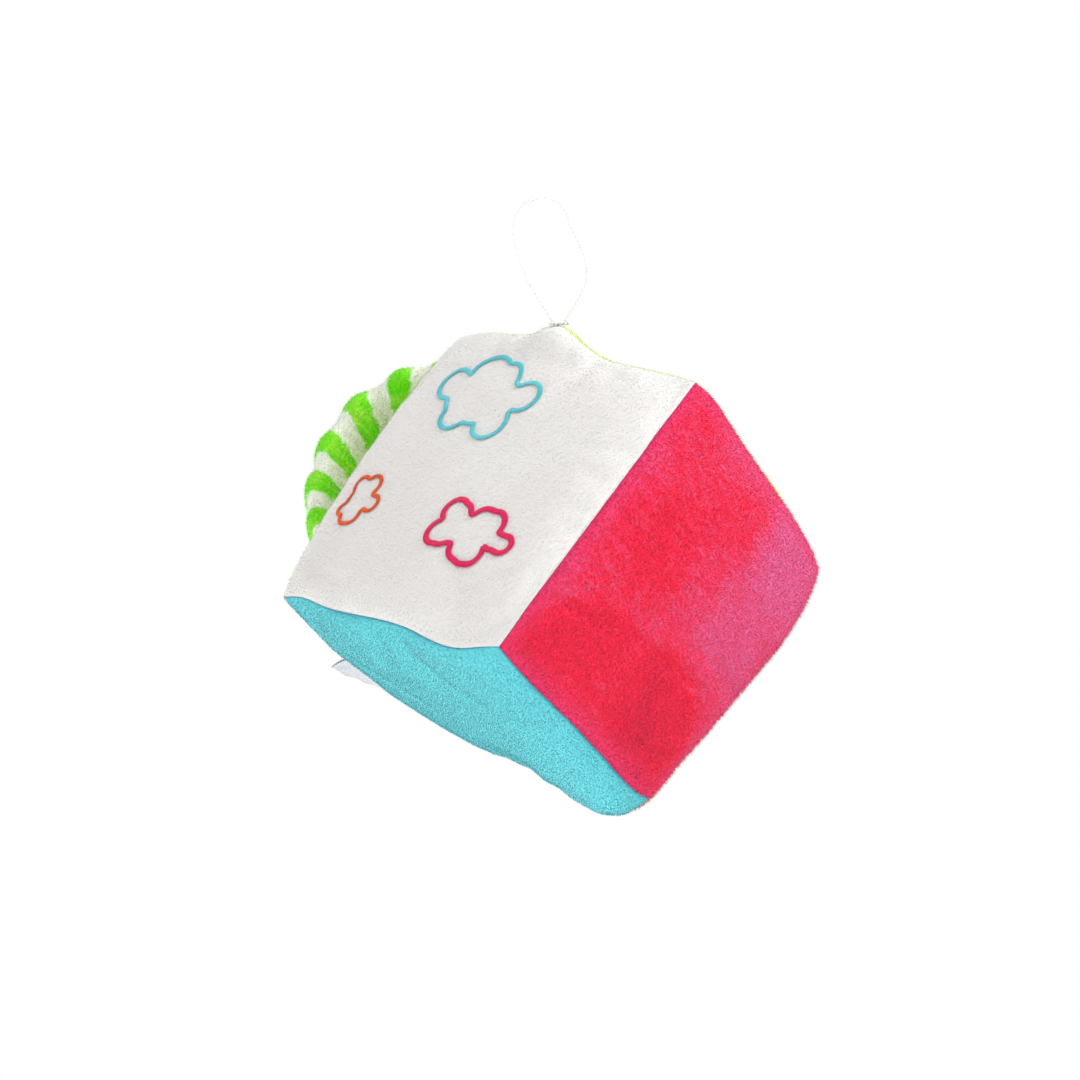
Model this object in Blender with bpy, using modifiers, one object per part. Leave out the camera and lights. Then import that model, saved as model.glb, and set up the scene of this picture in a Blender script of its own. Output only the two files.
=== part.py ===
# Soft fabric block: six plush panels over stuffing, hung from a loop of cord.
# Metres, +Z up. The origin is the top of the hanging loop.
# The block is modelled in its own axes and then hung under the cord:
# X runs to the magenta side, -Y is the white front and +Z is the lime top.

import math

import bmesh
import bpy
import numpy as np
from mathutils import Matrix, Vector

# Fits
fit_gap = 0.0003           # between two pieces that touch
tiny = 0.00001             # points closer than this are one point

# Block, measured seam to seam
block_width = 0.108        # along X
block_depth = 0.088        # along Y
block_height = 0.104       # along Z
crown_height = 0.0085      # how far the stuffing bulges a panel past its seams
crown_power = 0.62         # below 1 the bulge starts steeply at the seam
seam_bow = 0.0022          # how far a seam bows out between its corners
corner_round = 0.0020      # how far a corner is drawn in
corner_power = 6           # higher keeps that closer to the corner
slack_power = 3            # the same for the corners with little filling
low_sag = 0.0085           # how far the filling sinks down into the lowest corner
low_sag_spread = 0.0220
low_sag_shares = (0.68, 0.80, -1)   # middle of that, in halves of the block
panel_cells = 10

# Pile fabric and seams
fabric_thickness = 0.0018
seam_allowance = 0.0055

# Stuffing
wad_power = 6.0            # roundness of the wad's edges: 2 is a ball
wad_cells = 10

# Rattle in the middle of the stuffing
rattle_radius = 0.0170
rattle_wall = 0.0016
rattle_rim_width = 0.0020
rattle_rim_thickness = 0.0012
rattle_steps = 24
ball_radius = 0.0060
ball_steps = 16

# Grab handle over the left side
handle_width = 0.0320
handle_thickness = 0.0130
handle_end_thickness = 0.0046
handle_wall = 0.0017
handle_low_reach = 0.0410  # its curve's lower handle: how far out from the side
handle_low_rise = 0.0170   # and how far up it
handle_high_reach = 0.0760 # its curve's upper handle: how far out from the side
handle_high_rise = -0.0100 # and how far past the top seam
handle_place_share = -0.17 # middle of the strap, in depths from the block's middle
handle_foot_share = 0.218  # its lower foot is sewn this far up the side, in heights
handle_taper_share = 0.16  # part of its length over which each end flattens
handle_taper_power = 0.7   # below 1 they flatten late
handle_edge_power = 0.75   # below 1 the section is fuller than an ellipse
handle_seat_gap = 0.0006   # between its ends and the side that they are sewn to
seat_steps = 5             # steps of the search for the side's skin under each end
handle_stations = 20
handle_sides = 12

# Hanging cord
cord_diameter = 0.0012
cord_points = 36
cord_sides = 2             # bevel resolution
route_steps = 8            # fine steps between two route points
loop_turn = math.radians(48.0)   # the plane that the loop lies in, about Z
cord_place_share = 0.45    # where it is sewn, from the left end of the front top seam
cord_pull = 0.0075         # how far the cord's pull lifts the seam
cord_pull_spread = 0.0160

# The stitched root of the cord
tack_length = 0.0064
tack_width = 0.0030
tack_height = 0.0010
tack_steps = 16

# Embroidery on the white panel
stitch_widths = {"aqua": 0.0019, "pink": 0.0027, "orange": 0.0016}
stitch_height = 0.0007
stitch_bevel = 0.0002
cloud_points = 60

# Care label in the left bottom seam
label_width = 0.0280
label_drop = 0.0058
label_thickness = 0.0005
label_curl = 0.0019
label_place_share = 0.15   # middle of the label, in depths from the block's middle
label_slope = math.radians(4)    # how far it hangs below square to the left side
label_cells = 6

# The stuffing is packed a little tighter on the magenta side
balance_shift = 0.0034

half_sizes = (block_width / 2, block_depth / 2, block_height / 2)
face_sides = {"left": "-X", "right": "+X", "front": "-Y", "back": "+Y", "bottom": "-Z", "top": "+Z"}

# How far corners, seams and panels are off their even places, as shares of the block's
# width, depth and height. A stuffed block is never quite square: the signs say which
# corner it is, and a zero makes it the middle of a seam or of a panel.
uneven_shares = {
    (-1, -1, -1): (-0.007, 0.014, -0.040),
    (1, -1, -1): (-0.007, -0.010, 0.000),
    (1, -1, 1): (0.016, 0.016, 0.014),
    (-1, -1, 1): (-0.010, -0.032, 0.026),
    (1, 1, -1): (-0.012, -0.046, 0.068),
    (1, 1, 1): (0.032, 0.050, -0.015),
    (-1, 1, -1): (-0.021, -0.057, 0.040),
    (-1, 0, -1): (0.020, 0.000, 0.020),
    (1, 0, -1): (-0.016, 0.000, 0.000),
    (1, 0, 1): (-0.017, 0.000, -0.017),
    (0, -1, 1): (0.000, 0.016, -0.022),
    (0, -1, -1): (0.000, 0.000, 0.012),
    (0, 1, -1): (0.000, 0.008, -0.012),
    (1, -1, 0): (0.008, 0.000, -0.006),
    (0, 0, 1): (0.000, 0.000, -0.022),
    (0, 0, -1): (0.000, 0.000, 0.008),
}

# Corners with little filling, and how far they sink in
slack_corners = {(-1, 1, -1): 0.0050, (1, 1, 1): 0.0020}

# Clouds: middle and overall width as shares of the panel, then the lobes as
# shares of the cloud's width: place across, place up, radius
cloud_shares = {
    "aqua": (-0.126, 0.253, 0.407,
             ((-0.130, 0.170, 0.168), (0.030, 0.145, 0.155), (0.345, 0.070, 0.120),
              (0.210, -0.180, 0.138), (-0.165, -0.165, 0.128), (-0.400, 0.075, 0.126),
              (-0.190, 0.000, 0.175), (0.130, -0.020, 0.185), (0.000, -0.040, 0.185))),
    "pink": (0.171, -0.185, 0.307,
             ((-0.300, 0.150, 0.165), (0.115, 0.132, 0.163), (0.410, -0.040, 0.114),
              (0.130, -0.183, 0.165), (0.030, -0.172, 0.145), (-0.345, -0.095, 0.142),
              (-0.170, -0.050, 0.150), (-0.120, 0.030, 0.145), (0.140, -0.050, 0.188),
              (-0.035, -0.015, 0.205))),
    "orange": (-0.340, -0.155, 0.157,
               ((-0.190, 0.280, 0.190), (0.120, 0.330, 0.195), (0.400, -0.040, 0.168),
                (0.070, -0.330, 0.187), (-0.060, -0.360, 0.178), (-0.300, -0.240, 0.128),
                (-0.010, 0.000, 0.335))),
}

# The loop's centre line, hand placed: sideways and up from the stitched root
loop_route = [
    (-0.0020, 0.0000), (-0.0028, 0.0014), (-0.0048, 0.0046), (-0.0081, 0.0099), (-0.0106, 0.0150),
    (-0.0126, 0.0202), (-0.0143, 0.0262), (-0.0142, 0.0310), (-0.0124, 0.0352), (-0.0090, 0.0383),
    (-0.0048, 0.0394), (-0.0006, 0.0379), (0.0022, 0.0346), (0.0039, 0.0304), (0.0060, 0.0256),
    (0.0081, 0.0208), (0.0090, 0.0165), (0.0088, 0.0125), (0.0071, 0.0083), (0.0051, 0.0046),
    (0.0031, 0.0017), (0.0020, 0.0000),
]


def clear_scene():
    for item in list(bpy.data.objects):
        bpy.data.objects.remove(item, do_unlink=True)
    for group in list(bpy.data.collections):
        bpy.data.collections.remove(group)


def make_collection(name):
    group = bpy.data.collections.new(name)
    bpy.context.scene.collection.children.link(group)
    return group


def make_material(name, colour, roughness, metallic=0.0):
    material = bpy.data.materials.new(name)
    material.use_nodes = True
    shader = material.node_tree.nodes["Principled BSDF"]
    shader.inputs["Base Color"].default_value = (*colour, 1.0)
    shader.inputs["Roughness"].default_value = roughness
    shader.inputs["Metallic"].default_value = metallic
    return material


def add_object(name, mesh, group, material=None, parent=None, smooth=True):
    item = bpy.data.objects.new(name, mesh)
    group.objects.link(item)
    item.parent = parent
    if material:
        mesh.materials.append(material)
    if smooth:
        mesh.shade_smooth()
    return item


def add_empty(name, group, location, parent=None, rotation=(0.0, 0.0, 0.0)):
    empty = bpy.data.objects.new(name, None)
    group.objects.link(empty)
    empty.parent = parent
    empty.location = location
    empty.rotation_euler = rotation
    return empty


def finish_bmesh(build, name):
    bmesh.ops.remove_doubles(build, verts=build.verts, dist=tiny)
    bmesh.ops.recalc_face_normals(build, faces=build.faces)
    mesh = bpy.data.meshes.new(name)
    build.to_mesh(mesh)
    build.free()
    return mesh


def curve_to_mesh(curve_object, name):
    # a curve can't be mapped or cut, so its evaluated shape becomes a plain welded mesh
    bpy.context.view_layer.update()
    evaluated = curve_object.evaluated_get(bpy.context.evaluated_depsgraph_get())
    mesh = bpy.data.meshes.new_from_object(evaluated)
    mesh.transform(curve_object.matrix_world)
    curve = curve_object.data
    bpy.data.objects.remove(curve_object, do_unlink=True)
    bpy.data.curves.remove(curve)
    build = bmesh.new()
    build.from_mesh(mesh)
    bpy.data.meshes.remove(mesh)
    return finish_bmesh(build, name)


# The form of the stuffed block

def nearness(signs, cube_point):
    # 1 at that corner, seam middle or panel middle of the cube, and 0 at the far ones
    return math.prod((1 + sign * value) / 2 if sign else 1 - value ** 2
                     for sign, value in zip(signs, cube_point))


def stuffed_point(cube_point, inset=0.0, roundness=0.0):
    # place on the block of a point of the cube from -1 to 1, at a depth under the skin
    place = list(cube_point)
    if roundness:
        size = sum(abs(value) ** roundness for value in cube_point) ** (1 / roundness)
        place = [value / size for value in cube_point]
    result = []
    for axis in range(3):
        here, side, other = cube_point[axis], cube_point[(axis + 1) % 3], cube_point[(axis + 2) % 3]
        bow = seam_bow * here * (side ** 2 * (1 - other ** 2) + other ** 2 * (1 - side ** 2))
        crown = 0.0
        if abs(here) == 1:
            crown = here * crown_height * (max(1 - side ** 2, 0) * max(1 - other ** 2, 0)) ** crown_power
        result.append(place[axis] * (half_sizes[axis] - inset) + bow + crown)
    point = Vector(result)
    corner = abs(cube_point[0] * cube_point[1] * cube_point[2]) ** corner_power
    point -= Vector(cube_point).normalized() * corner_round * corner
    for signs, shares in uneven_shares.items():
        weight = nearness(signs, cube_point)
        for axis in range(3):
            point[axis] += weight * shares[axis] * 2 * half_sizes[axis]
    for signs, sink in slack_corners.items():
        point -= Vector(signs).normalized() * sink * nearness(signs, cube_point) ** slack_power
    return point


def hang_angles():
    # the block turns until its weight is straight under the stitched root
    lever = cord_root_rest - Vector((balance_shift, 0, 0))
    lean = math.atan2(lever.y, lever.z)
    height = math.hypot(lever.y, lever.z)
    tilt = math.atan2(-lever.x, height)
    return lean, tilt


cord_root_rest = stuffed_point((2 * cord_place_share - 1, -1, 1))
lean, tilt = hang_angles()
hang_turn = Matrix.Rotation(tilt, 3, "Y") @ Matrix.Rotation(lean, 3, "X")
up_in_block = hang_turn.transposed() @ Vector((0, 0, 1))


low_point_rest = stuffed_point(low_sag_shares)


def pulled(point):
    # the cord lifts the cover into a low tent round its root, and the filling sags opposite
    from_root = (point - cord_root_rest).length / cord_pull_spread
    from_low = (point - low_point_rest).length / low_sag_spread
    lift = cord_pull * math.exp(-from_root ** 2) - low_sag * math.exp(-from_low ** 2)
    return point + up_in_block * lift


def skin(cube_point, inset=0.0, roundness=0.0):
    return pulled(stuffed_point(cube_point, inset, roundness))


cord_root = pulled(cord_root_rest)


def cube_place(axis, sign, across, along):
    # a point of one face of the cube, whose two directions keep the face's normal outwards
    place = [0.0, 0.0, 0.0]
    place[axis] = float(sign)
    place[(axis + 1) % 3] = sign * across
    place[(axis + 2) % 3] = along
    return place


def panel_point(axis, sign, across, along):
    # past its edge the panel is turned in along the mitre: that is its seam allowance
    inside = [max(-1.0, min(1.0, across)), max(-1.0, min(1.0, along))]
    place = cube_place(axis, sign, *inside)
    point = skin(place)
    normal = Vector((0, 0, 0))
    normal[axis] = sign
    rims = [Vector((0, 0, 0)), Vector((0, 0, 0))]
    over_across = abs(across) > 1 - tiny
    over_along = abs(along) > 1 - tiny
    if over_across:
        rims[0][(axis + 1) % 3] = sign * math.copysign(1, across)
    if over_along:
        rims[1][(axis + 2) % 3] = math.copysign(1, along)
    for rim in rims:
        if rim.length:
            point += (normal - rim).normalized() * fit_gap / 2
    if abs(across) > 1 + tiny or abs(along) > 1 + tiny:
        inwards = -(normal + rims[0] + rims[1]).normalized()
        point += inwards * seam_allowance
    return point


def make_panel(name, side, material, group, parent):
    axis = "XYZ".index(face_sides[side][1])
    sign = -1 if face_sides[side][0] == "-" else 1
    cells = panel_cells + 2
    build = bmesh.new()
    bmesh.ops.create_grid(build, x_segments=cells, y_segments=cells, size=cells / panel_cells)
    for vertex in build.verts:
        vertex.co = panel_point(axis, sign, vertex.co.x, vertex.co.y)
    bmesh.ops.remove_doubles(build, verts=build.verts, dist=tiny)
    mesh = bpy.data.meshes.new(name)
    build.to_mesh(mesh)
    build.free()
    panel = add_object(name, mesh, group, material, parent)
    shell = panel.modifiers.new("fabric", "SOLIDIFY")
    shell.thickness = fabric_thickness
    shell.offset = -1
    shell.use_even_offset = True
    return panel


def make_wad(name, side, material, group, parent, cutters):
    # one half of the stuffing, parted at the middle and hollowed for the rattle
    build = bmesh.new()
    bmesh.ops.create_cube(build, size=2)
    bmesh.ops.subdivide_edges(build, edges=build.edges, cuts=wad_cells - 1, use_grid_fill=True)
    depth = fabric_thickness + fit_gap
    for vertex in build.verts:
        place = [round(value * wad_cells) / wad_cells for value in vertex.co]
        vertex.co = skin(place, depth, wad_power)
    wad = add_object(name, finish_bmesh(build, name), group, material, parent)
    for cutter in cutters:
        cut = wad.modifiers.new(cutter.name, "BOOLEAN")
        cut.operation = "DIFFERENCE"
        cut.solver = "EXACT"
        cut.object = cutter
    return wad


def half_space_cutter(name, side, group, parent):
    # everything on one side of the block's middle, less half a gap
    reach = 2 * max(half_sizes)
    build = bmesh.new()
    bmesh.ops.create_cube(build, size=2 * reach)
    mesh = finish_bmesh(build, name)
    cutter = add_object(name, mesh, group, None, parent, smooth=False)
    cutter.location = (0, side * (reach - fit_gap / 2), 0)
    cutter.hide_render = True
    cutter.display_type = "WIRE"
    return cutter


def turned(name, profile, steps, group, material, parent):
    # a profile of radius and height, turned about Z
    build = bmesh.new()
    ring = [build.verts.new((radius, 0, height)) for radius, height in profile]
    for first, second in zip(ring, ring[1:]):
        build.edges.new((first, second))
    mesh = bpy.data.meshes.new(name)
    build.to_mesh(mesh)
    build.free()
    item = add_object(name, mesh, group, material, parent)
    screw = item.modifiers.new("turn", "SCREW")
    screw.steps = steps
    screw.render_steps = steps
    screw.use_merge_vertices = True
    screw.merge_threshold = tiny
    return item


def arc(radius, start, end, steps, lift=0.0):
    angles = np.linspace(math.radians(start), math.radians(end), steps + 1)
    return [(radius * math.cos(angle), radius * math.sin(angle) + lift) for angle in angles]


def half_shell_profile():
    # the lower half of the rattle case, from the pole round the rim and back inside
    inner = rattle_radius - rattle_wall
    rim = rattle_radius + rattle_rim_width
    edge = -fit_gap / 2
    under = edge - rattle_rim_thickness
    outside = [point for point in arc(rattle_radius, 0, -90, rattle_steps // 4) if point[1] < under]
    inside = [point for point in arc(inner, -90, 0, rattle_steps // 4) if point[1] < under]
    turn_in = math.sqrt(rattle_radius ** 2 - under ** 2)
    return [(inner, edge), (rim, edge), (rim, under), (turn_in, under)] + outside + inside + [(inner, edge)]


def rattle_recess_profile():
    # the space that the stuffing keeps clear round the closed case
    size = rattle_radius + fit_gap
    rim = rattle_radius + rattle_rim_width + fit_gap
    half = rattle_rim_thickness + fit_gap * 1.5
    turn = math.sqrt(size ** 2 - half ** 2)
    upper = [point for point in arc(size, 90, 0, rattle_steps // 4) if point[1] > half]
    lower = [point for point in arc(size, 0, -90, rattle_steps // 4) if point[1] < -half]
    return upper + [(turn, half), (rim, half), (rim, -half), (turn, -half)] + lower


def make_rattle(group, cutter_group, parent, plastic, metal):
    lower = turned("rattle_lower_shell", half_shell_profile(), rattle_steps, group, plastic, parent)
    upper = turned("rattle_upper_shell", half_shell_profile(), rattle_steps, group, plastic, parent)
    upper.rotation_euler = (math.pi, 0, 0)
    recess = turned("rattle_recess", rattle_recess_profile(), rattle_steps, cutter_group, None, parent)
    recess.hide_render = True
    recess.display_type = "WIRE"
    build = bmesh.new()
    bmesh.ops.create_uvsphere(build, u_segments=ball_steps, v_segments=ball_steps // 2, radius=ball_radius)
    ball = add_object("rattle_ball", finish_bmesh(build, "rattle_ball"), group, metal, parent)
    # the ball lies at the lowest place inside the hung case
    roll = rattle_radius - rattle_wall - ball_radius - fit_gap
    ball.location = -up_in_block * roll
    ball.rotation_euler = hang_turn.transposed().to_euler()
    return recess


# The grab handle

def handle_curve(share):
    # centre line in the plane of X and Z, from the bottom seam over to the top seam
    place = handle_place_share * 2
    start = skin((-1, place, 2 * handle_foot_share - 1))
    end = skin((-1, place, 1)) - Vector((0, 0, handle_end_thickness / 2 + fit_gap))
    first = start + Vector((-handle_low_reach, 0, handle_low_rise))
    second = end + Vector((-handle_high_reach, 0, handle_high_rise))
    rest = 1 - share
    point = start * rest ** 3 + first * 3 * rest ** 2 * share
    point += second * 3 * rest * share ** 2 + end * share ** 3
    point.y = (start.y + end.y) / 2
    along = (first - start) * rest ** 2 + (second - first) * 2 * rest * share + (end - second) * share ** 2
    along.y = 0
    return point, along.normalized()


def side_depth(y, z):
    # X of the left panel's skin at that depth and height, found in a few steps
    across, along = y / half_sizes[1], z / half_sizes[2]
    for step in range(seat_steps):
        point = skin((-1, across, along))
        across += (y - point.y) / half_sizes[1]
        along = min(along + (z - point.z) / half_sizes[2], 1)
    return point.x


def handle_section(share, inset):
    # an oval across the strap, which flattens where it is sewn into the seams
    point, along = handle_curve(share)
    across = Vector((0, 1, 0))
    thick = along.cross(across)
    from_end = min(share, 1 - share) / handle_taper_share
    swell = math.sin(min(from_end, 1) * math.pi / 2) ** handle_taper_power
    thickness = handle_end_thickness + (handle_thickness - handle_end_thickness) * swell
    ring = []
    for step in range(handle_sides):
        angle = 2 * math.pi * step / handle_sides
        side = math.copysign(abs(math.cos(angle)) ** handle_edge_power, math.cos(angle))
        ring.append(point + across * side * (handle_width / 2 - inset)
                    + thick * math.sin(angle) * (thickness / 2 - inset))
    if share in (0, 1):
        # each end lies flat against the side that it is sewn to
        for point in ring:
            point.x = side_depth(point.y, point.z) - handle_seat_gap
    return ring


def handle_loft(name, shares, inset, closed):
    build = bmesh.new()
    rings = []
    for share in shares:
        rings.append([build.verts.new(point) for point in handle_section(share, inset)])
    for ring, beyond in zip(rings, rings[1:]):
        for step in range(handle_sides):
            following = (step + 1) % handle_sides
            build.faces.new((ring[step], ring[following], beyond[following], beyond[step]))
    if closed:
        build.faces.new(reversed(rings[0]))
        build.faces.new(rings[-1])
    return finish_bmesh(build, name)


def make_handle(group, parent, striped, wadding):
    shares = [step / handle_stations for step in range(handle_stations + 1)]
    tube = handle_loft("handle_cover", shares, 0.0, False)
    cover = add_object("handle_cover", tube, group, striped, parent)
    wall = cover.modifiers.new("fabric", "SOLIDIFY")
    wall.thickness = handle_wall
    wall.offset = -1
    inner_shares = [share for share in shares if handle_taper_share < share < 1 - handle_taper_share]
    core = handle_loft("handle_wadding", inner_shares, handle_wall + fit_gap, True)
    add_object("handle_wadding", core, group, wadding, parent)


# The embroidered clouds

def cloud_outline(lobes, grow):
    # outermost edge of a ring of round lobes, seen from the cloud's middle
    outline = []
    for step in range(cloud_points):
        angle = 2 * math.pi * step / cloud_points
        ray = Vector((math.cos(angle), math.sin(angle)))
        reach = []
        for across, up, radius in lobes:
            middle = Vector((across, up))
            size = radius + grow
            miss = middle.x * ray.y - middle.y * ray.x
            if abs(miss) < size:
                reach.append(middle.dot(ray) + math.sqrt(size ** 2 - miss ** 2))
        outline.append(ray * max(reach))
    return outline


def make_cloud(colour, material, group, parent):
    name = colour + "_cloud_embroidery"
    across, up, width_share, lobe_shares = cloud_shares[colour]
    width = width_share * block_width
    lobes = [tuple(share * width for share in lobe) for lobe in lobe_shares]
    curve = bpy.data.curves.new(name, "CURVE")
    curve.dimensions = "2D"
    curve.fill_mode = "BOTH"
    curve.extrude = stitch_height / 2 - stitch_bevel
    curve.bevel_depth = stitch_bevel
    curve.bevel_resolution = 0
    half_width = stitch_widths[colour] / 2 - stitch_bevel
    for grow in (half_width, -half_width):
        outline = cloud_outline(lobes, grow)
        spline = curve.splines.new("POLY")
        spline.points.add(len(outline) - 1)
        spline.use_cyclic_u = True
        for point, place in zip(spline.points, outline):
            point.co = (place.x, place.y, 0, 1)
    flat = bpy.data.objects.new(name, curve)
    group.objects.link(flat)
    mesh = curve_to_mesh(flat, name)
    # wrap the flat ring over the crowned front panel
    for vertex in mesh.vertices:
        spot = (2 * across + vertex.co.x / half_sizes[0], -1.0, 2 * up + vertex.co.y / half_sizes[2])
        lift = vertex.co.z + stitch_height / 2 + fit_gap
        vertex.co = raised(spot, lift)
    build = bmesh.new()
    build.from_mesh(mesh)
    bpy.data.meshes.remove(mesh)
    add_object(name, finish_bmesh(build, name), group, material, parent)


def raised(spot, lift):
    # a point that stands off the front panel along its normal
    step = tiny / block_width
    spot = (max(-1 + step, min(1 - step, spot[0])), spot[1], max(-1 + step, min(1 - step, spot[2])))
    here = skin(spot)
    right = skin((spot[0] + step, spot[1], spot[2])) - here
    above = skin((spot[0], spot[1], spot[2] + step)) - here
    return here + right.cross(above).normalized() * lift


# The cord and what is sewn into the seams

def smooth_route(points, count):
    # a smooth curve through the route's points, read at equal lengths
    places = [Vector(point) for point in points]
    padded = [2 * places[0] - places[1]] + places + [2 * places[-1] - places[-2]]
    fine = []
    for index in range(len(places) - 1):
        before, first, second, after = padded[index:index + 4]
        for step in range(route_steps):
            share = step / route_steps
            fine.append(0.5 * (2 * first + (second - before) * share
                               + (2 * before - 5 * first + 4 * second - after) * share ** 2
                               + (3 * first - before - 3 * second + after) * share ** 3))
    fine.append(places[-1])
    lengths = [0.0]
    for first, second in zip(fine, fine[1:]):
        lengths.append(lengths[-1] + (second - first).length)
    wanted = np.linspace(0, lengths[-1], count)
    axes = [np.interp(wanted, lengths, [point[axis] for point in fine]) for axis in range(3)]
    return [Vector(values) for values in zip(*axes)], lengths[-1]


def loop_place(side, up):
    # the loop's plane, with its highest point at the origin
    top_side, top_up = max(loop_route, key=lambda point: point[1])
    out = side - top_side
    return Vector((math.cos(loop_turn) * out, math.sin(loop_turn) * out, up - top_up))


def make_cord(group, material):
    route, length = smooth_route([loop_place(*point) for point in loop_route], cord_points)
    curve = bpy.data.curves.new("hang_cord", "CURVE")
    curve.dimensions = "3D"
    curve.bevel_depth = cord_diameter / 2
    curve.bevel_resolution = cord_sides
    curve.use_fill_caps = True
    spline = curve.splines.new("POLY")
    spline.points.add(len(route) - 1)
    for point, place in zip(spline.points, route):
        point.co = (*place, 1)
    line = bpy.data.objects.new("hang_cord", curve)
    group.objects.link(line)
    mesh = curve_to_mesh(line, "hang_cord")
    add_object("hang_cord", mesh, group, material)
    print("length of cord in the loop:", round(length, 4))


def make_tack(group, parent, material):
    # a flat oval of satin stitches that ties the two cord ends to the seam
    build = bmesh.new()
    bmesh.ops.create_cone(build, cap_ends=True, segments=tack_steps, radius1=tack_length / 2,
                          radius2=tack_length / 2, depth=tack_height)
    squash = Matrix.Diagonal((1, tack_width / tack_length, 1, 1))
    bmesh.ops.transform(build, matrix=squash, verts=build.verts)
    tack = add_object("cord_tack", finish_bmesh(build, "cord_tack"), group, material, parent)
    tack.location = (0, 0, fit_gap + tack_height / 2)
    tack.rotation_euler = (0, 0, loop_turn)
    soften = tack.modifiers.new("soften", "BEVEL")
    soften.width = tack_height / 4
    soften.segments = 1
    return tack


def make_label(group, parent, material):
    # a folded tape sewn into the left bottom seam, which sticks out of it and curls a little
    place = label_place_share * 2
    half_share = label_width / block_depth
    near, middle, far = (skin((-1, place + side * half_share, -1)) for side in (-1, 0, 1))
    along = (far - near).normalized()
    out = Vector((-math.cos(label_slope), 0, -math.sin(label_slope)))
    out = (out - along * out.dot(along)).normalized()
    flat = out.cross(along)
    label_start = fit_gap + label_thickness
    build = bmesh.new()
    bmesh.ops.create_grid(build, x_segments=label_cells, y_segments=label_cells // 2, size=0.5)
    for vertex in build.verts:
        across, down = vertex.co.x, vertex.co.y + 0.5
        wave = -math.sin(across * math.pi) * down
        vertex.co = (along * across * label_width + out * (down * label_drop + label_start)
                     + flat * label_curl * (down ** 2 + wave))
    mesh = bpy.data.meshes.new("care_label")
    build.to_mesh(mesh)
    build.free()
    label = add_object("care_label", mesh, group, material, parent)
    label.location = middle
    tape = label.modifiers.new("tape", "SOLIDIFY")
    tape.thickness = label_thickness
    tape.offset = 0
    return label


def main():
    clear_scene()
    block = make_collection("soft_fabric_block")
    cutters = make_collection("cutters")

    white = make_material("white plush", (0.84, 0.83, 0.82), 0.95)
    magenta = make_material("magenta plush", (0.90, 0.05, 0.16), 0.90)
    turquoise = make_material("turquoise plush", (0.13, 0.60, 0.68), 0.90)
    lime = make_material("lime plush", (0.62, 0.83, 0.08), 0.90)
    orange = make_material("orange plush", (0.93, 0.33, 0.06), 0.90)
    green = make_material("green striped plush", (0.24, 0.71, 0.03), 0.90)
    filling = make_material("polyester filling", (0.90, 0.90, 0.88), 1.00)
    cord = make_material("white cord", (0.88, 0.88, 0.86), 0.60)
    plastic = make_material("rattle plastic", (0.92, 0.92, 0.90), 0.45)
    steel = make_material("rattle ball steel", (0.60, 0.60, 0.60), 0.30, 1.0)
    tape = make_material("label tape", (0.90, 0.90, 0.89), 0.55)
    aqua_thread = make_material("aqua thread", (0.10, 0.58, 0.68), 0.45)
    pink_thread = make_material("pink thread", (0.82, 0.05, 0.28), 0.45)
    orange_thread = make_material("orange thread", (0.88, 0.25, 0.04), 0.45)

    # the pivot is on the seam, right under the stitched root of the cord
    root_side, root_up = 0.0, -(fit_gap * 2 + tack_height)
    pivot = add_empty("swing_pivot", block, loop_place(root_side, root_up))
    hung = add_empty("block_hung", block, (0, 0, 0), pivot, (lean, tilt, 0))
    centre = add_empty("block_centre", block, -cord_root, hung)

    panel_materials = {"front": white, "right": magenta, "bottom": turquoise,
                       "top": lime, "left": lime, "back": orange}
    for side, material in panel_materials.items():
        make_panel(side + "_panel", side, material, block, centre)

    recess = make_rattle(block, cutters, centre, plastic, steel)
    keep_front = half_space_cutter("cut_back", 1, cutters, centre)
    keep_back = half_space_cutter("cut_front", -1, cutters, centre)
    make_wad("front_stuffing", -1, filling, block, centre, (keep_front, recess))
    make_wad("back_stuffing", 1, filling, block, centre, (keep_back, recess))

    make_handle(block, centre, green, filling)
    make_cloud("aqua", aqua_thread, block, centre)
    make_cloud("pink", pink_thread, block, centre)
    make_cloud("orange", orange_thread, block, centre)
    make_label(block, centre, tape)
    make_tack(block, pivot, cord)
    make_cord(block, cord)
    print("block leans", round(math.degrees(lean), 2), "and tilts", round(math.degrees(tilt), 2), "degrees")


main()
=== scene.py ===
# Looks of the soft fabric block: plush panels over stuffing, satin-stitched clouds,
# a striped grab handle and the cord loop that it hangs from. Metres, +Z up.

import math

import bmesh
import bpy
import numpy as np
from mathutils import Matrix, Vector, noise
from mathutils.bvhtree import BVHTree


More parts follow.
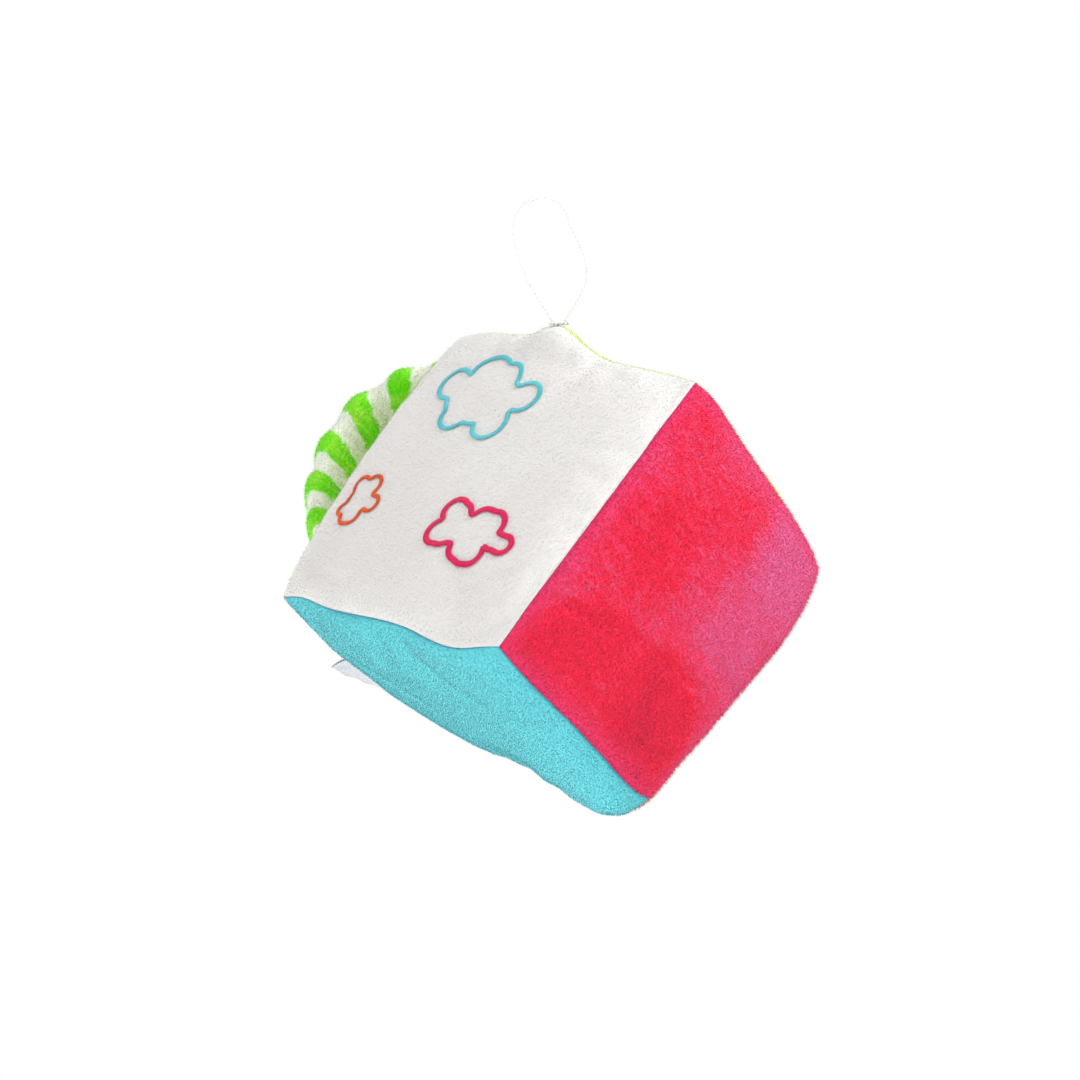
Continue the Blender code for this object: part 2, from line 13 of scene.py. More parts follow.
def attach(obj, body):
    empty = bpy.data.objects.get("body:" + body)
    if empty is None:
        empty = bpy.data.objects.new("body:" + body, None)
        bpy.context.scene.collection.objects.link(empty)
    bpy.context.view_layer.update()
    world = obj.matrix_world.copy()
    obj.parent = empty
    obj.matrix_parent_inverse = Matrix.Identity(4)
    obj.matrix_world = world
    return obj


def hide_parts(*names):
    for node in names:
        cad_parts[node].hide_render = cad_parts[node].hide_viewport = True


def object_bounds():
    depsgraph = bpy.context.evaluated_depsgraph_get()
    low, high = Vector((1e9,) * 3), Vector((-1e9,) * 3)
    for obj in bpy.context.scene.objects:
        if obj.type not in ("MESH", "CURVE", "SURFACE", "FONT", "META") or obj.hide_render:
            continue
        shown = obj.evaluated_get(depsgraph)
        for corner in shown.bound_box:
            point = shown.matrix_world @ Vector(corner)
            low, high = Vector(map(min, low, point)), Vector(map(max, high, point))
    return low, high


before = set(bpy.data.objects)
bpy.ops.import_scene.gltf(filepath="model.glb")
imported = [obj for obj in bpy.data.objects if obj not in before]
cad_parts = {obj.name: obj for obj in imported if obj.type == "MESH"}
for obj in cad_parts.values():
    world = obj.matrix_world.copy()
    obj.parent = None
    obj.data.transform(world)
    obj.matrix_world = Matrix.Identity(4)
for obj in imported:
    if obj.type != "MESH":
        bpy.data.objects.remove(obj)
cadLow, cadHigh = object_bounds()
tiny = 0.00001

# The block's form, in the same real sizes as the solids
block = {
    "width": 0.108, "depth": 0.088, "height": 0.104,
    "crown": 0.0085, "crownPower": 0.62,
    "seamBow": 0.0022, "cornerRound": 0.0020, "cornerPower": 6,
    "slackPower": 3, "lowSag": 0.0085, "lowSagSpread": 0.0220, "lowSagShares": (0.68, 0.80, -1),
    "cordPlace": 0.45, "cordPull": 0.0075, "cordPullSpread": 0.0140,
    "weightShift": 0.0034,
}
halfSizes = (block["width"] / 2, block["depth"] / 2, block["height"] / 2)
sides = {"left": "-X", "right": "+X", "front": "-Y", "back": "+Y", "bottom": "-Z", "top": "+Z"}
# How far corners, seams and panels are off their even places, as shares of the block's sizes:
# the signs say which corner it is, and a zero makes it the middle of a seam or of a panel
unevenShares = {
    (-1, -1, -1): (-0.007, 0.014, -0.040),
    (1, -1, -1): (-0.007, -0.010, 0.000),
    (1, -1, 1): (0.016, 0.016, 0.014),
    (-1, -1, 1): (-0.010, -0.032, 0.026),
    (1, 1, -1): (-0.012, -0.046, 0.068),
    (1, 1, 1): (0.032, 0.050, -0.015),
    (-1, 1, -1): (-0.021, -0.057, 0.040),
    (-1, 0, -1): (0.020, 0.000, 0.020),
    (1, 0, -1): (-0.016, 0.000, 0.000),
    (1, 0, 1): (-0.017, 0.000, -0.017),
    (0, -1, 1): (0.000, 0.016, -0.022),
    (0, -1, -1): (0.000, 0.000, 0.012),
    (0, 1, -1): (0.000, 0.008, -0.012),
    (1, -1, 0): (0.008, 0.000, -0.006),
    (0, 0, 1): (0.000, 0.000, -0.022),
    (0, 0, -1): (0.000, 0.000, 0.008),
}
slackCorners = {(-1, 1, -1): 0.0050, (1, 1, 1): 0.0020}


def nearness(signs, cube):
    # 1 at that corner, seam middle or panel middle of the cube, and 0 at the far ones
    return math.prod((1 + sign * value) / 2 if sign else 1 - value ** 2 for sign, value in zip(signs, cube))


def stuffedPoint(cube):
    # place on the plain stuffed form of a point of the cube from -1 to 1
    result = []
    for axis in range(3):
        here, across, along = cube[axis], cube[(axis + 1) % 3], cube[(axis + 2) % 3]
        bow = block["seamBow"] * here * (across ** 2 * (1 - along ** 2) + along ** 2 * (1 - across ** 2))
        crown = 0.0
        if abs(here) == 1:
            room = max(1 - across ** 2, 0) * max(1 - along ** 2, 0)
            crown = here * block["crown"] * room ** block["crownPower"]
        result.append(here * halfSizes[axis] + bow + crown)
    point = Vector(result)
    corner = abs(cube[0] * cube[1] * cube[2]) ** block["cornerPower"]
    point -= Vector(cube).normalized() * block["cornerRound"] * corner
    for signs, shares in unevenShares.items():
        weight = nearness(signs, cube)
        for axis in range(3):
            point[axis] += weight * shares[axis] * 2 * halfSizes[axis]
    for signs, sink in slackCorners.items():
        point -= Vector(signs).normalized() * sink * nearness(signs, cube) ** block["slackPower"]
    return point


# Where the block hangs: its weight is straight under the sewn root of the cord
rootCube = (2 * block["cordPlace"] - 1, -1, 1)
rootRest = stuffedPoint(rootCube)
lowRest = stuffedPoint(block["lowSagShares"])
lever = rootRest - Vector((block["weightShift"], 0, 0))
lean = math.atan2(lever.y, lever.z)
tilt = math.atan2(-lever.x, math.hypot(lever.y, lever.z))
hangTurn = Matrix.Rotation(tilt, 3, "Y") @ Matrix.Rotation(lean, 3, "X")
upInBlock = hangTurn.transposed() @ Vector((0, 0, 1))

# Where the filling pushes the cover out softly: place on the cube, how far, and how wide
fullSpots = [
    ((-0.62, -1, 1), 0.0030, 0.0170), ((1, 0.55, 1), 0.0004, 0.0200), ((1, -0.80, 1), 0.0014, 0.0110),
    ((1, 1, 0.55), 0.0012, 0.0200), ((1, 1, 1), -0.0002, 0.0100), ((0.80, 0.90, -1), 0.0034, 0.0110),
    (rootCube, 0.0012, 0.0065),
]
# Where a seam was sewn a little to one side: place on the cube, which way, and how wide
seamDrifts = [
    ((0.62, -1, -1), (0, 0.0024, -0.0026), 0.0150), ((-0.75, -1, -1), (0, -0.0012, 0.0012), 0.0110),
]


def fading(point, middle, reach):
    # 1 at the middle, and nearly 0 at twice the reach
    return math.exp(-((point - middle).length / reach) ** 2)


def pulled(point):
    # the low tent that the cord's pull makes, and the filling's sag opposite
    pull = block["cordPull"] * fading(point, rootRest, block["cordPullSpread"])
    sag = block["lowSag"] * fading(point, lowRest, block["lowSagSpread"])
    return point + upInBlock * (pull - sag)


def skin(cube):
    # the same place on the block as it hangs, with the swells and drifts of this one
    start = stuffedPoint(cube)
    point = start.copy()
    for place, push, reach in fullSpots:
        point += start.normalized() * push * fading(start, stuffedPoint(place), reach)
    for place, drift, reach in seamDrifts:
        point += Vector(drift) * fading(start, stuffedPoint(place), reach)
    return pulled(point)


cord = {
    "diameter": 0.0012, "length": 0.0942, "points": 108, "turn": math.radians(48.0), "top": 10,
    "strands": 3, "strandSides": 7, "layLength": 0.0046, "strandShare": 0.56,
    "ringsPerMetre": 2600, "curveSteps": 8,
    # centre line, chosen: sideways and up from the sewn root
    "route": [
        (-0.0020, 0.0000), (-0.0028, 0.0014), (-0.0048, 0.0046), (-0.0081, 0.0099), (-0.0106, 0.0150),
        (-0.0126, 0.0202), (-0.0143, 0.0262), (-0.0142, 0.0310), (-0.0124, 0.0352), (-0.0090, 0.0383),
        (-0.0048, 0.0394), (-0.0006, 0.0379), (0.0022, 0.0346), (0.0039, 0.0304), (0.0060, 0.0256),
        (0.0081, 0.0208), (0.0090, 0.0165), (0.0088, 0.0125), (0.0071, 0.0083), (0.0051, 0.0046),
        (0.0031, 0.0017), (0.0020, 0.0000),
    ],
}
tack = {
    "length": 0.0064, "width": 0.0030, "height": 0.0010, "gap": 0.0003,
    "threads": 9, "threadWidth": 0.00075, "threadSwell": 1.25, "threadFlatness": 0.9, "slant": 0.22,
    "bareReach": 0.75, "bareSpots": 15,
}


def loopPlace(side, up):
    # a point of the loop's plane, whose highest point is the origin
    topSide, topUp = cord["route"][cord["top"]]
    out = side - topSide
    return Vector((math.cos(cord["turn"]) * out, math.sin(cord["turn"]) * out, up - topUp))


pivot = loopPlace(0.0, -(tack["gap"] * 2 + tack["height"]))
toWorld = Matrix.Translation(pivot) @ hangTurn.to_4x4() @ Matrix.Translation(-pulled(rootRest))
blockCentre = toWorld @ Vector((0, 0, 0))


# Small helpers for objects

def setAll(item, **values):
    for key, value in values.items():
        setattr(item, key, value)
    return item


def addObject(name, data):
    item = bpy.data.objects.new(name, data)
    bpy.context.scene.collection.objects.link(item)
    return item


# Camera

shot = {
    "azimuth": math.radians(48.0), "elevation": math.radians(3.2), "distance": 0.773,
    "lens": 80.0, "sensor": 36.0, "middleX": 552, "middleY": 571, "picture": 1080,
}


def standAt(item, offset):
    # that far from the block's middle, looking at it
    setAll(item, location=blockCentre + offset, rotation_mode="QUATERNION",
           rotation_quaternion=offset.to_track_quat("Z", "Y"))


def makeCamera():
    half = shot["picture"] / 2
    lens = setAll(bpy.data.cameras.new("photoCamera"), lens=shot["lens"], sensor_width=shot["sensor"],
                  shift_x=(half - shot["middleX"]) / shot["picture"],
                  shift_y=(shot["middleY"] - half) / shot["picture"], clip_start=0.01)
    turn, rise = shot["azimuth"], shot["elevation"]
    back = Vector((math.sin(turn) * math.cos(rise), -math.cos(turn) * math.cos(rise), math.sin(rise)))
    bpy.context.scene.camera = addObject("photoCamera", lens)
    standAt(bpy.context.scene.camera, back * shot["distance"])


makeCamera()
print("camera placed")


# Small helpers for meshes

def finishMesh(mesh, material=None):
    if material:
        mesh.materials.clear()
        mesh.materials.append(material)
    mesh.shade_smooth()


def meshObject(name, mesh, material=None):
    finishMesh(mesh, material)
    return addObject(name, mesh)


def meshFrom(name, build):
    mesh = bpy.data.meshes.new(name)
    build.to_mesh(mesh)
    build.free()
    return mesh


def settle(piece):
    # what the modifiers make becomes the piece's own plain mesh
    bpy.context.view_layer.update()
    shape = piece.evaluated_get(bpy.context.evaluated_depsgraph_get())
    mesh = bpy.data.meshes.new_from_object(shape)
    old = piece.data
    piece.modifiers.clear()
    piece.data = mesh
    if old.users == 0:
        bpy.data.meshes.remove(old)
    mesh.name = piece.name


def carry(piece, body, slot, *nodes):
    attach(piece, body)
    if nodes:
        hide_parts(*nodes)


def thicken(piece, thickness, offset=-1):
    # cloth behind its outer surface, or half on each side of it where the offset is 0
    setAll(piece.modifiers.new("thickness", "SOLIDIFY"), thickness=thickness, offset=offset)
    settle(piece)


def joinRings(build, rings, closed=True):
    # a band of faces from each row of vertices to the next
    count = len(rings[0])
    for ring, beyond in zip(rings, rings[1:]):
        for step in range(count if closed else count - 1):
            following = (step + 1) % count
            build.faces.new((ring[step], ring[following], beyond[following], beyond[step]))


def readTriples(items, field, kind=np.float32):
    values = np.zeros(len(items) * 3, kind)
    items.foreach_get(field, values)
    return values.reshape(-1, 3)


def readPoints(mesh):
    return readTriples(mesh.vertices, "co", np.float64)


def readNormals(mesh):
    return readTriples(mesh.vertex_normals, "vector")


def writePoints(mesh, points):
    mesh.vertices.foreach_set("co", np.asarray(points, np.float32).ravel())
    mesh.update()


def store(mesh, name, values):
    # a number or a vector for each point of the mesh
    values = np.asarray(values, np.float32)
    kind, field = ("FLOAT", "value") if values.ndim == 1 else ("FLOAT_VECTOR", "vector")
    mesh.attributes.new(name, kind, "POINT").data.foreach_set(field, values.ravel())


def waver(point, scale, shift=(0, 0, 0)):
    # smooth noise, from -1 to 1
    return noise.noise(Vector(point) * scale + Vector(shift))


# Materials

class Nodes:
    # short calls that build a node tree; a node given as a value stands for its first output

    def __init__(self, tree):
        self.tree = tree

    def add(self, kind, inputs=None, **settings):
        node = setAll(self.tree.nodes.new(kind), **settings)
        for key, value in (inputs or {}).items():
            self.give(node.inputs[key], value)
        return node

    def give(self, socket, value):
        if isinstance(value, bpy.types.Node):
            value = value.outputs[0]
        if isinstance(value, bpy.types.NodeSocket):
            self.tree.links.new(value, socket)
        else:
            socket.default_value = value

    def calc(self, operation, first, second=0.0):
        return self.add("ShaderNodeMath", {0: first, 1: second}, operation=operation)

    def vector(self, operation, *values, **named):
        node = self.add("ShaderNodeVectorMath", {**dict(enumerate(values)), **named}, operation=operation)
        return node.outputs["Value" if operation in ("DISTANCE", "LENGTH") else "Vector"]

    def spread(self, value, low, high, start=0.0, end=1.0):
        # the start up to the low value, the end from the high value on, and smooth between
        inputs = {"Value": value, "From Min": low, "From Max": high, "To Min": start, "To Max": end}
        return self.add("ShaderNodeMapRange", inputs, interpolation_type="SMOOTHSTEP")

    def seen(self):
        # 1 to the eye, also in a gloss or through glass, and 0 to the light on other things
        rays = self.add("ShaderNodeLightPath").outputs
        mirrored = self.calc("MAXIMUM", rays["Is Glossy Ray"], rays["Is Transmission Ray"])
        return self.calc("MAXIMUM", rays["Is Camera Ray"], mirrored)


class Shade(Nodes):
    # a material's node tree, round its one shader

    def __init__(self, name):
        self.material = bpy.data.materials.new(name)
        self.material.use_nodes = True
        super().__init__(self.material.node_tree)
        self.shader = self.tree.nodes["Principled BSDF"]

    def place(self, scale=(1.0, 1.0, 1.0), turn=(0.0, 0.0, 0.0), kind="POINT"):
        where = self.add("ShaderNodeTexCoord").outputs["Object"]
        inputs = {"Vector": where, "Scale": scale, "Rotation": turn}
        return self.add("ShaderNodeMapping", inputs, vector_type=kind)

    def cloud(self, vector, scale, detail, rough, seed):
        inputs = {"Vector": vector, "Scale": scale, "Detail": detail, "Roughness": rough, "W": seed}
        return self.add("ShaderNodeTexNoise", inputs, noise_dimensions="4D")

    def blend(self, share, first, second):
        node = self.add("ShaderNodeMix", data_type="RGBA")
        for index, value in (("Factor", share), (6, first), (7, second)):
            self.give(node.inputs[index], value)
        return node.outputs[2]

    def stored(self, name, output="Fac"):
        node = self.add("ShaderNodeAttribute", attribute_name=name, attribute_type="GEOMETRY")
        return node.outputs[output]

    def clothNormal(self, share):
        # part of the way from a fibre's own normal to that of the cloth under it
        turned = self.add("ShaderNodeVectorTransform", {"Vector": self.stored("clothNormal", "Vector")},
                          vector_type="NORMAL", convert_from="OBJECT", convert_to="WORLD")
        own = self.add("ShaderNodeNewGeometry").outputs["Normal"]
        rest = self.vector("MULTIPLY", own, (1 - share,) * 3)
        return self.vector("NORMALIZE", self.vector("MULTIPLY_ADD", turned, (share,) * 3, rest))

    def bump(self, height, strength, distance):
        node = self.add("ShaderNodeBump", {"Height": height, "Strength": strength, "Distance": distance})
        self.give(self.shader.inputs["Normal"], node)

    def finish(self, tone, sockets):
        for name, value in {"Base Color": tone, **sockets}.items():
            self.give(self.shader.inputs[name], value)
        return self.material


def colour(*screen):
    # a colour as seen on screen, from 0 to 255, made linear
    linear = [((value / 255 + 0.055) / 1.055) ** 2.4 if value > 10 else value / 3294 for value in screen]
    return (*linear, 1.0)


# In all the finishes a noise is a scale, a detail, a roughness and a seed, and a range is what
# spread takes: from, to and the shares there. Tones are screen colours.
plush = {
    "broad": (420.0, 3.0, 0.6, 2.0), "broadStreaks": (0.38, 0.66, -0.22, 0.26),
    "fine": (900.0, 2.0, 0.6, 4.0), "fineStreaks": (0.36, 0.66, -0.30, 0.30),
    "specks": (1500.0, 2.0, 0.5, 3.0), "speckDepth": (0.35, 0.7, 0.3, 0.0), "rootShade": (0.0, 0.7, 0.5, 0.0),
    "seamShare": 0.75, "bump": 0.12, "bumpDistance": 0.0006,
    "sockets": {"Roughness": 0.92, "Specular IOR Level": 0.15, "Sheen Weight": 0.2, "Sheen Roughness": 0.4},
}
# Tones: a painted shade deep in the pile, plain, brushed up, a painted sheen along a seam (darker on the
# turquoise, a painted seam shade) and the painted shadow line right in it, whose narrowness and strength
# follow. Streaks are drawn out along the block's axes. Softness is how much the fibres are lit like the
# cloth under them, which makes a pile look smooth.
plushKinds = {
    "white": {
        "tones": ((225, 222, 219), (233, 230, 228), (239, 237, 235), (236, 234, 232), (206, 202, 200)),
        "line": (24.0, 0.4), "stretch": (1.0, 1.0, 2.0), "streaks": 0.2, "softness": 0,
    },
    "magenta": {
        "tones": ((208, 38, 78), (255, 42, 76), (238, 112, 168), (244, 74, 130), (214, 14, 96)),
        "line": (20.0, 0.6), "stretch": (1.0, 2.6, 1.0), "streaks": 0.5, "softness": 0,
    },
    "turquoise": {
        "tones": ((98, 205, 215), (104, 209, 218), (114, 213, 221), (99, 203, 214), (46, 122, 158)),
        "line": (34.0, 0.8), "stretch": (2.2, 1.0, 1.0), "streaks": 0.3, "softness": 0.6,
    },
    "lime": {
        "tones": ((176, 210, 60), (212, 236, 98), (236, 248, 160), (243, 251, 190), (196, 222, 90)),
        "line": (20.0, 0.4), "stretch": (1.0, 2.0, 1.0), "streaks": 0.5, "softness": 0.4,
    },
    "orange": {
        "tones": ((214, 96, 28), (243, 132, 52), (250, 164, 92), (252, 186, 128), (196, 84, 24)),
        "line": (20.0, 0.4), "stretch": (2.0, 1.0, 1.0), "streaks": 0.5, "softness": 0.4,
    },
}


def finishPlush(shade, tone, deep, fibre, sizes):
    # the deep tone, a painted shade, darkens each fibre towards its root, and the backing in specks
    if fibre:
        depth = shade.spread(shade.stored("tip"), *sizes["rootShade"])
    else:
        specks = shade.cloud(shade.place(), *plush["specks"])
        depth = shade.spread(specks, *sizes["speckDepth"])
        shade.bump(specks, sizes["bump"], plush["bumpDistance"])
    return shade.finish(shade.blend(depth, tone, deep), plush["sockets"])


def plushShade(name, fibre):
    kind = plushKinds[name]
    deep, plain, brushed, seam, shadow = [colour(*tone) for tone in kind["tones"]]
    shade = Shade(name + ("PlushFibres" if fibre else "PlushBacking"))
    streaked = shade.place(kind["stretch"], tuple(hangTurn.to_euler()), "TEXTURE")
    broad = shade.spread(shade.cloud(streaked, *plush["broad"]), *plush["broadStreaks"])
    fine = shade.spread(shade.cloud(streaked, *plush["fine"]), *plush["fineStreaks"])
    streaks = shade.calc("MULTIPLY", shade.calc("ADD", broad, fine), kind["streaks"])
    brush = shade.calc("ADD", shade.stored("brushed"), streaks)
    near = shade.stored("seamNear")
    narrowness, strength = kind["line"]
    # the brushed share also carries painted light and shade: lighter towards the brushed tone, and below 0
    # darker towards the deep tone, a painted shade
    tone = shade.blend(brush, plain, brushed)
    tone = shade.blend(shade.calc("MULTIPLY", brush, -1.0), tone, deep)
    # a painted sheen along each seam, darker on the turquoise as a painted seam shade, then the painted
    # shadow line right at the seam
    tone = shade.blend(shade.calc("MULTIPLY", near, plush["seamShare"]), tone, seam)
    tone = shade.blend(shade.calc("MULTIPLY", shade.calc("POWER", near, narrowness), strength), tone, shadow)
    if fibre and kind["softness"]:
        shade.give(shade.shader.inputs["Normal"], shade.clothNormal(kind["softness"]))
    return finishPlush(shade, tone, deep, fibre, plush)


stripes = {   # tones: a painted shade deep in the pile, plain and brushed up
    "width": 0.0188, "slant": 0.51, "start": 0.0047, "greenShare": 0.52, "soft": 0.05,
    "green": ((84, 214, 8), (128, 244, 26), (198, 252, 88)),
    "pale": ((236, 244, 222), (251, 253, 244), (254, 255, 252)),
    "wave": (420.0, 2.0, 0.5, 5.0), "waveReach": (0.3, 0.7, -0.035, 0.035),
    "patches": (120.0, 3.0, 0.6, 6.0), "patchRange": (0.35, 0.7),
    "rootShade": (0.0, 0.8, 0.6, 0.0), "speckDepth": (0.35, 0.7, 0.5, 0.1), "bump": 0.5,
}


def stripedShade(name, fibre):
    shade = Shade(name)
    where = shade.place()
    wave = shade.spread(shade.cloud(where, *stripes["wave"]), *stripes["waveReach"])
    turn = shade.calc("FRACT", shade.calc("ADD", shade.stored("stripe"), wave))
    fromMiddle = shade.calc("ABSOLUTE", shade.calc("SUBTRACT", turn, 0.5))
    edge = stripes["greenShare"] / 2
    isGreen = shade.spread(fromMiddle, edge + stripes["soft"], edge - stripes["soft"])
    brush = shade.spread(shade.cloud(where, *stripes["patches"]), *stripes["patchRange"])
    pairs = zip(stripes["pale"], stripes["green"])
    deep, plain, brushed = [shade.blend(isGreen, colour(*pale), colour(*green)) for pale, green in pairs]
    return finishPlush(shade, shade.blend(brush, plain, brushed), deep, fibre, stripes)


threads = {
    "aqua": ((64, 172, 184), (110, 210, 216)), "pink": ((196, 6, 72), (230, 20, 96)),
    "orange": ((192, 62, 4), (232, 96, 14)), "white": ((196, 196, 192), (240, 240, 236)),
}
rayon = {
    "plies": (2600.0, 2.0, 0.5, 7.0), "plyRange": (0.3, 0.7, 0.0, 0.6), "bump": (0.35, 0.0001),
    "drift": (160.0, 2.0, 0.5, 8.0), "driftRange": (0.3, 0.7, 0.0, 0.4),
    "sockets": {"Roughness": 0.5, "Specular IOR Level": 0.3, "Sheen Weight": 0.08, "Anisotropic": 0.5},
}


def threadShade(name, tones):
    # fine plies along each stitch, with a soft gloss
    shade = Shade(name)
    where = shade.place()
    plies = shade.cloud(where, *rayon["plies"])
    drift = shade.spread(shade.cloud(where, *rayon["drift"]), *rayon["driftRange"])
    mixed = shade.calc("ADD", shade.spread(plies, *rayon["plyRange"]), drift)
    shade.bump(plies, *rayon["bump"])
    return shade.finish(shade.blend(mixed, colour(*tones[0]), colour(*tones[1])), rayon["sockets"])


# The plain finishes: a first tone, and those laid over it in a range of a noise; the noises that
# are raised, with the bump's strength and distance. A socket takes a number or a range of a noise.
finishes = {
    "twistedCord": {
        "noises": {"fibres": (5200.0, 3.0, 0.6, 9.0), "dust": (300.0, 2.0, 0.5, 10.0)},
        "tone": (230, 230, 226), "raised": ("fibres",), "bump": (0.4, 0.00012),
        "over": (("fibres", (0.3, 0.7), (250, 250, 248)), ("dust", (0.5, 0.8, 0.0, 0.35), (226, 224, 216))),
        "sockets": {"Roughness": 0.65, "Sheen Weight": 0.3},
    },
    # the tape's grey and its darker mottles are partly painted shade, for the label hangs in shade under the
    # block
    "labelTape": {
        "noises": {"shadeMottle": (240.0, 3.0, 0.6, 11.0)},
        "tone": (222, 222, 226), "raised": ("weave",), "bump": (0.35, 0.00008),
        "over": (("shadeMottle", (0.4, 0.75), (190, 192, 198)), ("weave", (0.2, 1.4, 0.5, 0.0), (150, 152, 160))),
        "sockets": {"Roughness": 0.5, "Sheen Weight": 0.2},
    },
    "polyesterFilling": {
        "grain": ((1.0, 1.0, 0.4), (0.6, 0.3, 0.0)),
        "noises": {"fibres": (900.0, 4.0, 0.7, 12.0), "lumps": (90.0, 3.0, 0.6, 13.0)},
        "tone": (208, 208, 204), "raised": ("fibres", "lumps"), "bump": (0.7, 0.0006),
        "over": (("fibres", (0.3, 0.7), (245, 245, 242)), ("lumps", (0.45, 0.8, 0.0, 0.4), (220, 220, 214))),
        "sockets": {"Roughness": 0.95, "Sheen Weight": 0.5},
    },
    "rattlePlastic": {
        "noises": {"drift": (70.0, 3.0, 0.6, 14.0), "grain": (3200.0, 2.0, 0.5, 15.0)},
        "tone": (244, 244, 240), "raised": ("grain",), "bump": (0.12, 0.00005),
        "over": (("drift", (0.35, 0.7), (232, 232, 226)),),
        "sockets": {"Roughness": ("drift", 0.3, 0.7, 0.38, 0.55)},
    },
    "ballSteel": {
        "noises": {"marks": (1400.0, 3.0, 0.6, 16.0)},
        "tone": (206, 206, 208), "raised": ("marks",), "bump": (0.1, 0.00003),
        "over": (("marks", (0.4, 0.7), (170, 170, 174)),),
        "sockets": {"Metallic": 1.0, "Roughness": ("marks", 0.3, 0.7, 0.22, 0.42)},
    },
}
tape = {"ribs": (520.0, 0.6, "X"), "picks": (900.0, 0.4, "Y"), "detail": 1.0, "pickShare": 0.6}


def wovenPattern(shade):
    # woven satin tape: fine ribs one way, finer threads the other
    spot = shade.add("ShaderNodeUVMap", uv_map="weave")
    waves = []
    for scale, distortion, direction in (tape["ribs"], tape["picks"]):
        wave = shade.add("ShaderNodeTexWave", {
            "Vector": spot, "Scale": scale, "Distortion": distortion, "Detail": tape["detail"]},
            wave_type="BANDS", bands_direction=direction)
        waves.append(wave.outputs["Fac"])
    return shade.calc("ADD", waves[0], shade.calc("MULTIPLY", waves[1], tape["pickShare"]))


def plainShade(name):
    sizes = finishes[name]
    shade = Shade(name)
    where = shade.place(*sizes.get("grain", ()))
    patterns = {label: shade.cloud(where, *values) for label, values in sizes["noises"].items()}
    if "weave" in sizes["raised"]:
        patterns["weave"] = wovenPattern(shade)
    tone = colour(*sizes["tone"])
    for label, limits, over in sizes["over"]:
        tone = shade.blend(shade.spread(patterns[label], *limits), tone, colour(*over))
    height = patterns[sizes["raised"][0]]
    for label in sizes["raised"][1:]:
        height = shade.calc("ADD", height, patterns[label])
    shade.bump(height, *sizes["bump"])
    sockets = dict(sizes["sockets"])
    for key, value in sockets.items():
        if isinstance(value, tuple):
            sockets[key] = shade.spread(patterns[value[0]], *value[1:])
    return shade.finish(tone, sockets)


# The hanging cord: three strands twisted together along the loop

def lengthsAlong(line):
    steps = np.linalg.norm(np.diff(line, axis=0), axis=1)
    return np.concatenate([[0.0], np.cumsum(steps)])


def readAlong(line, lengths, wanted):
    return np.stack([np.interp(wanted, lengths, axis) for axis in line.T], axis=1)


def smoothRoute(points, count):
    # a smooth curve through the route's points, read at equal lengths
    places = [Vector(point) for point in points]
    padded = [2 * places[0] - places[1]] + places + [2 * places[-1] - places[-2]]
    fine = []
    for index in range(len(places) - 1):
        before, first, second, after = padded[index:index + 4]
        for step in range(cord["curveSteps"]):
            share = step / cord["curveSteps"]
            fine.append(0.5 * (2 * first + (second - before) * share
                               + (2 * before - 5 * first + 4 * second - after) * share ** 2
                               + (3 * first - before - 3 * second + after) * share ** 3))
    line = np.array([*fine, places[-1]])
    lengths = lengthsAlong(line)
    even = readAlong(line, lengths, np.linspace(0, lengths[-1], count))
    return [Vector(point) for point in even], lengths[-1]


def alongAt(line, index):
    return (line[min(index + 1, len(line) - 1)] - line[max(index - 1, 0)]).normalized()


def sweepTube(build, centres, sideways, radius, count):
    # a round tube through the centres, closed at both ends
    rings = []
    for index, centre in enumerate(centres):
        along = alongAt(centres, index)
        across = (sideways - along * sideways.dot(along)).normalized()
        up = along.cross(across)
        ring = []
        for step in range(count):
            angle = 2 * math.pi * step / count
            ring.append(build.verts.new(centre + (across * math.cos(angle) + up * math.sin(angle)) * radius))
        rings.append(ring)
    joinRings(build, rings)
    build.faces.new(reversed(rings[0]))
    build.faces.new(rings[-1])


def makeCord():
    route = [loopPlace(*point) for point in cord["route"]]
    centres, length = smoothRoute(route, int(cord["length"] * cord["ringsPerMetre"]))
    sideways = Vector((-math.sin(cord["turn"]), math.cos(cord["turn"]), 0))
    strandRadius = cord["diameter"] / 2 * cord["strandShare"]
    offset = cord["diameter"] / 2 - strandRadius
    build = bmesh.new()
    for strand in range(cord["strands"]):
        line = []
        for index, centre in enumerate(centres):
            up = alongAt(centres, index).cross(sideways)
            laid = index / (len(centres) - 1) * length / cord["layLength"]
            angle = 2 * math.pi * (strand / cord["strands"] + laid)
            line.append(centre + (sideways * math.cos(angle) + up * math.sin(angle)) * offset)
        sweepTube(build, line, sideways, strandRadius, cord["strandSides"])
    bmesh.ops.recalc_face_normals(build, faces=build.faces)
    piece = meshObject("hangingCord", meshFrom("hangingCord", build), plainShade("twistedCord"))
    carry(piece, "loop", "white_cord", "hang_cord")


makeCord()
print("cord made")


# The cover: one closed skin, puffed up by a cloth simulation with its seams held, then cut into panels

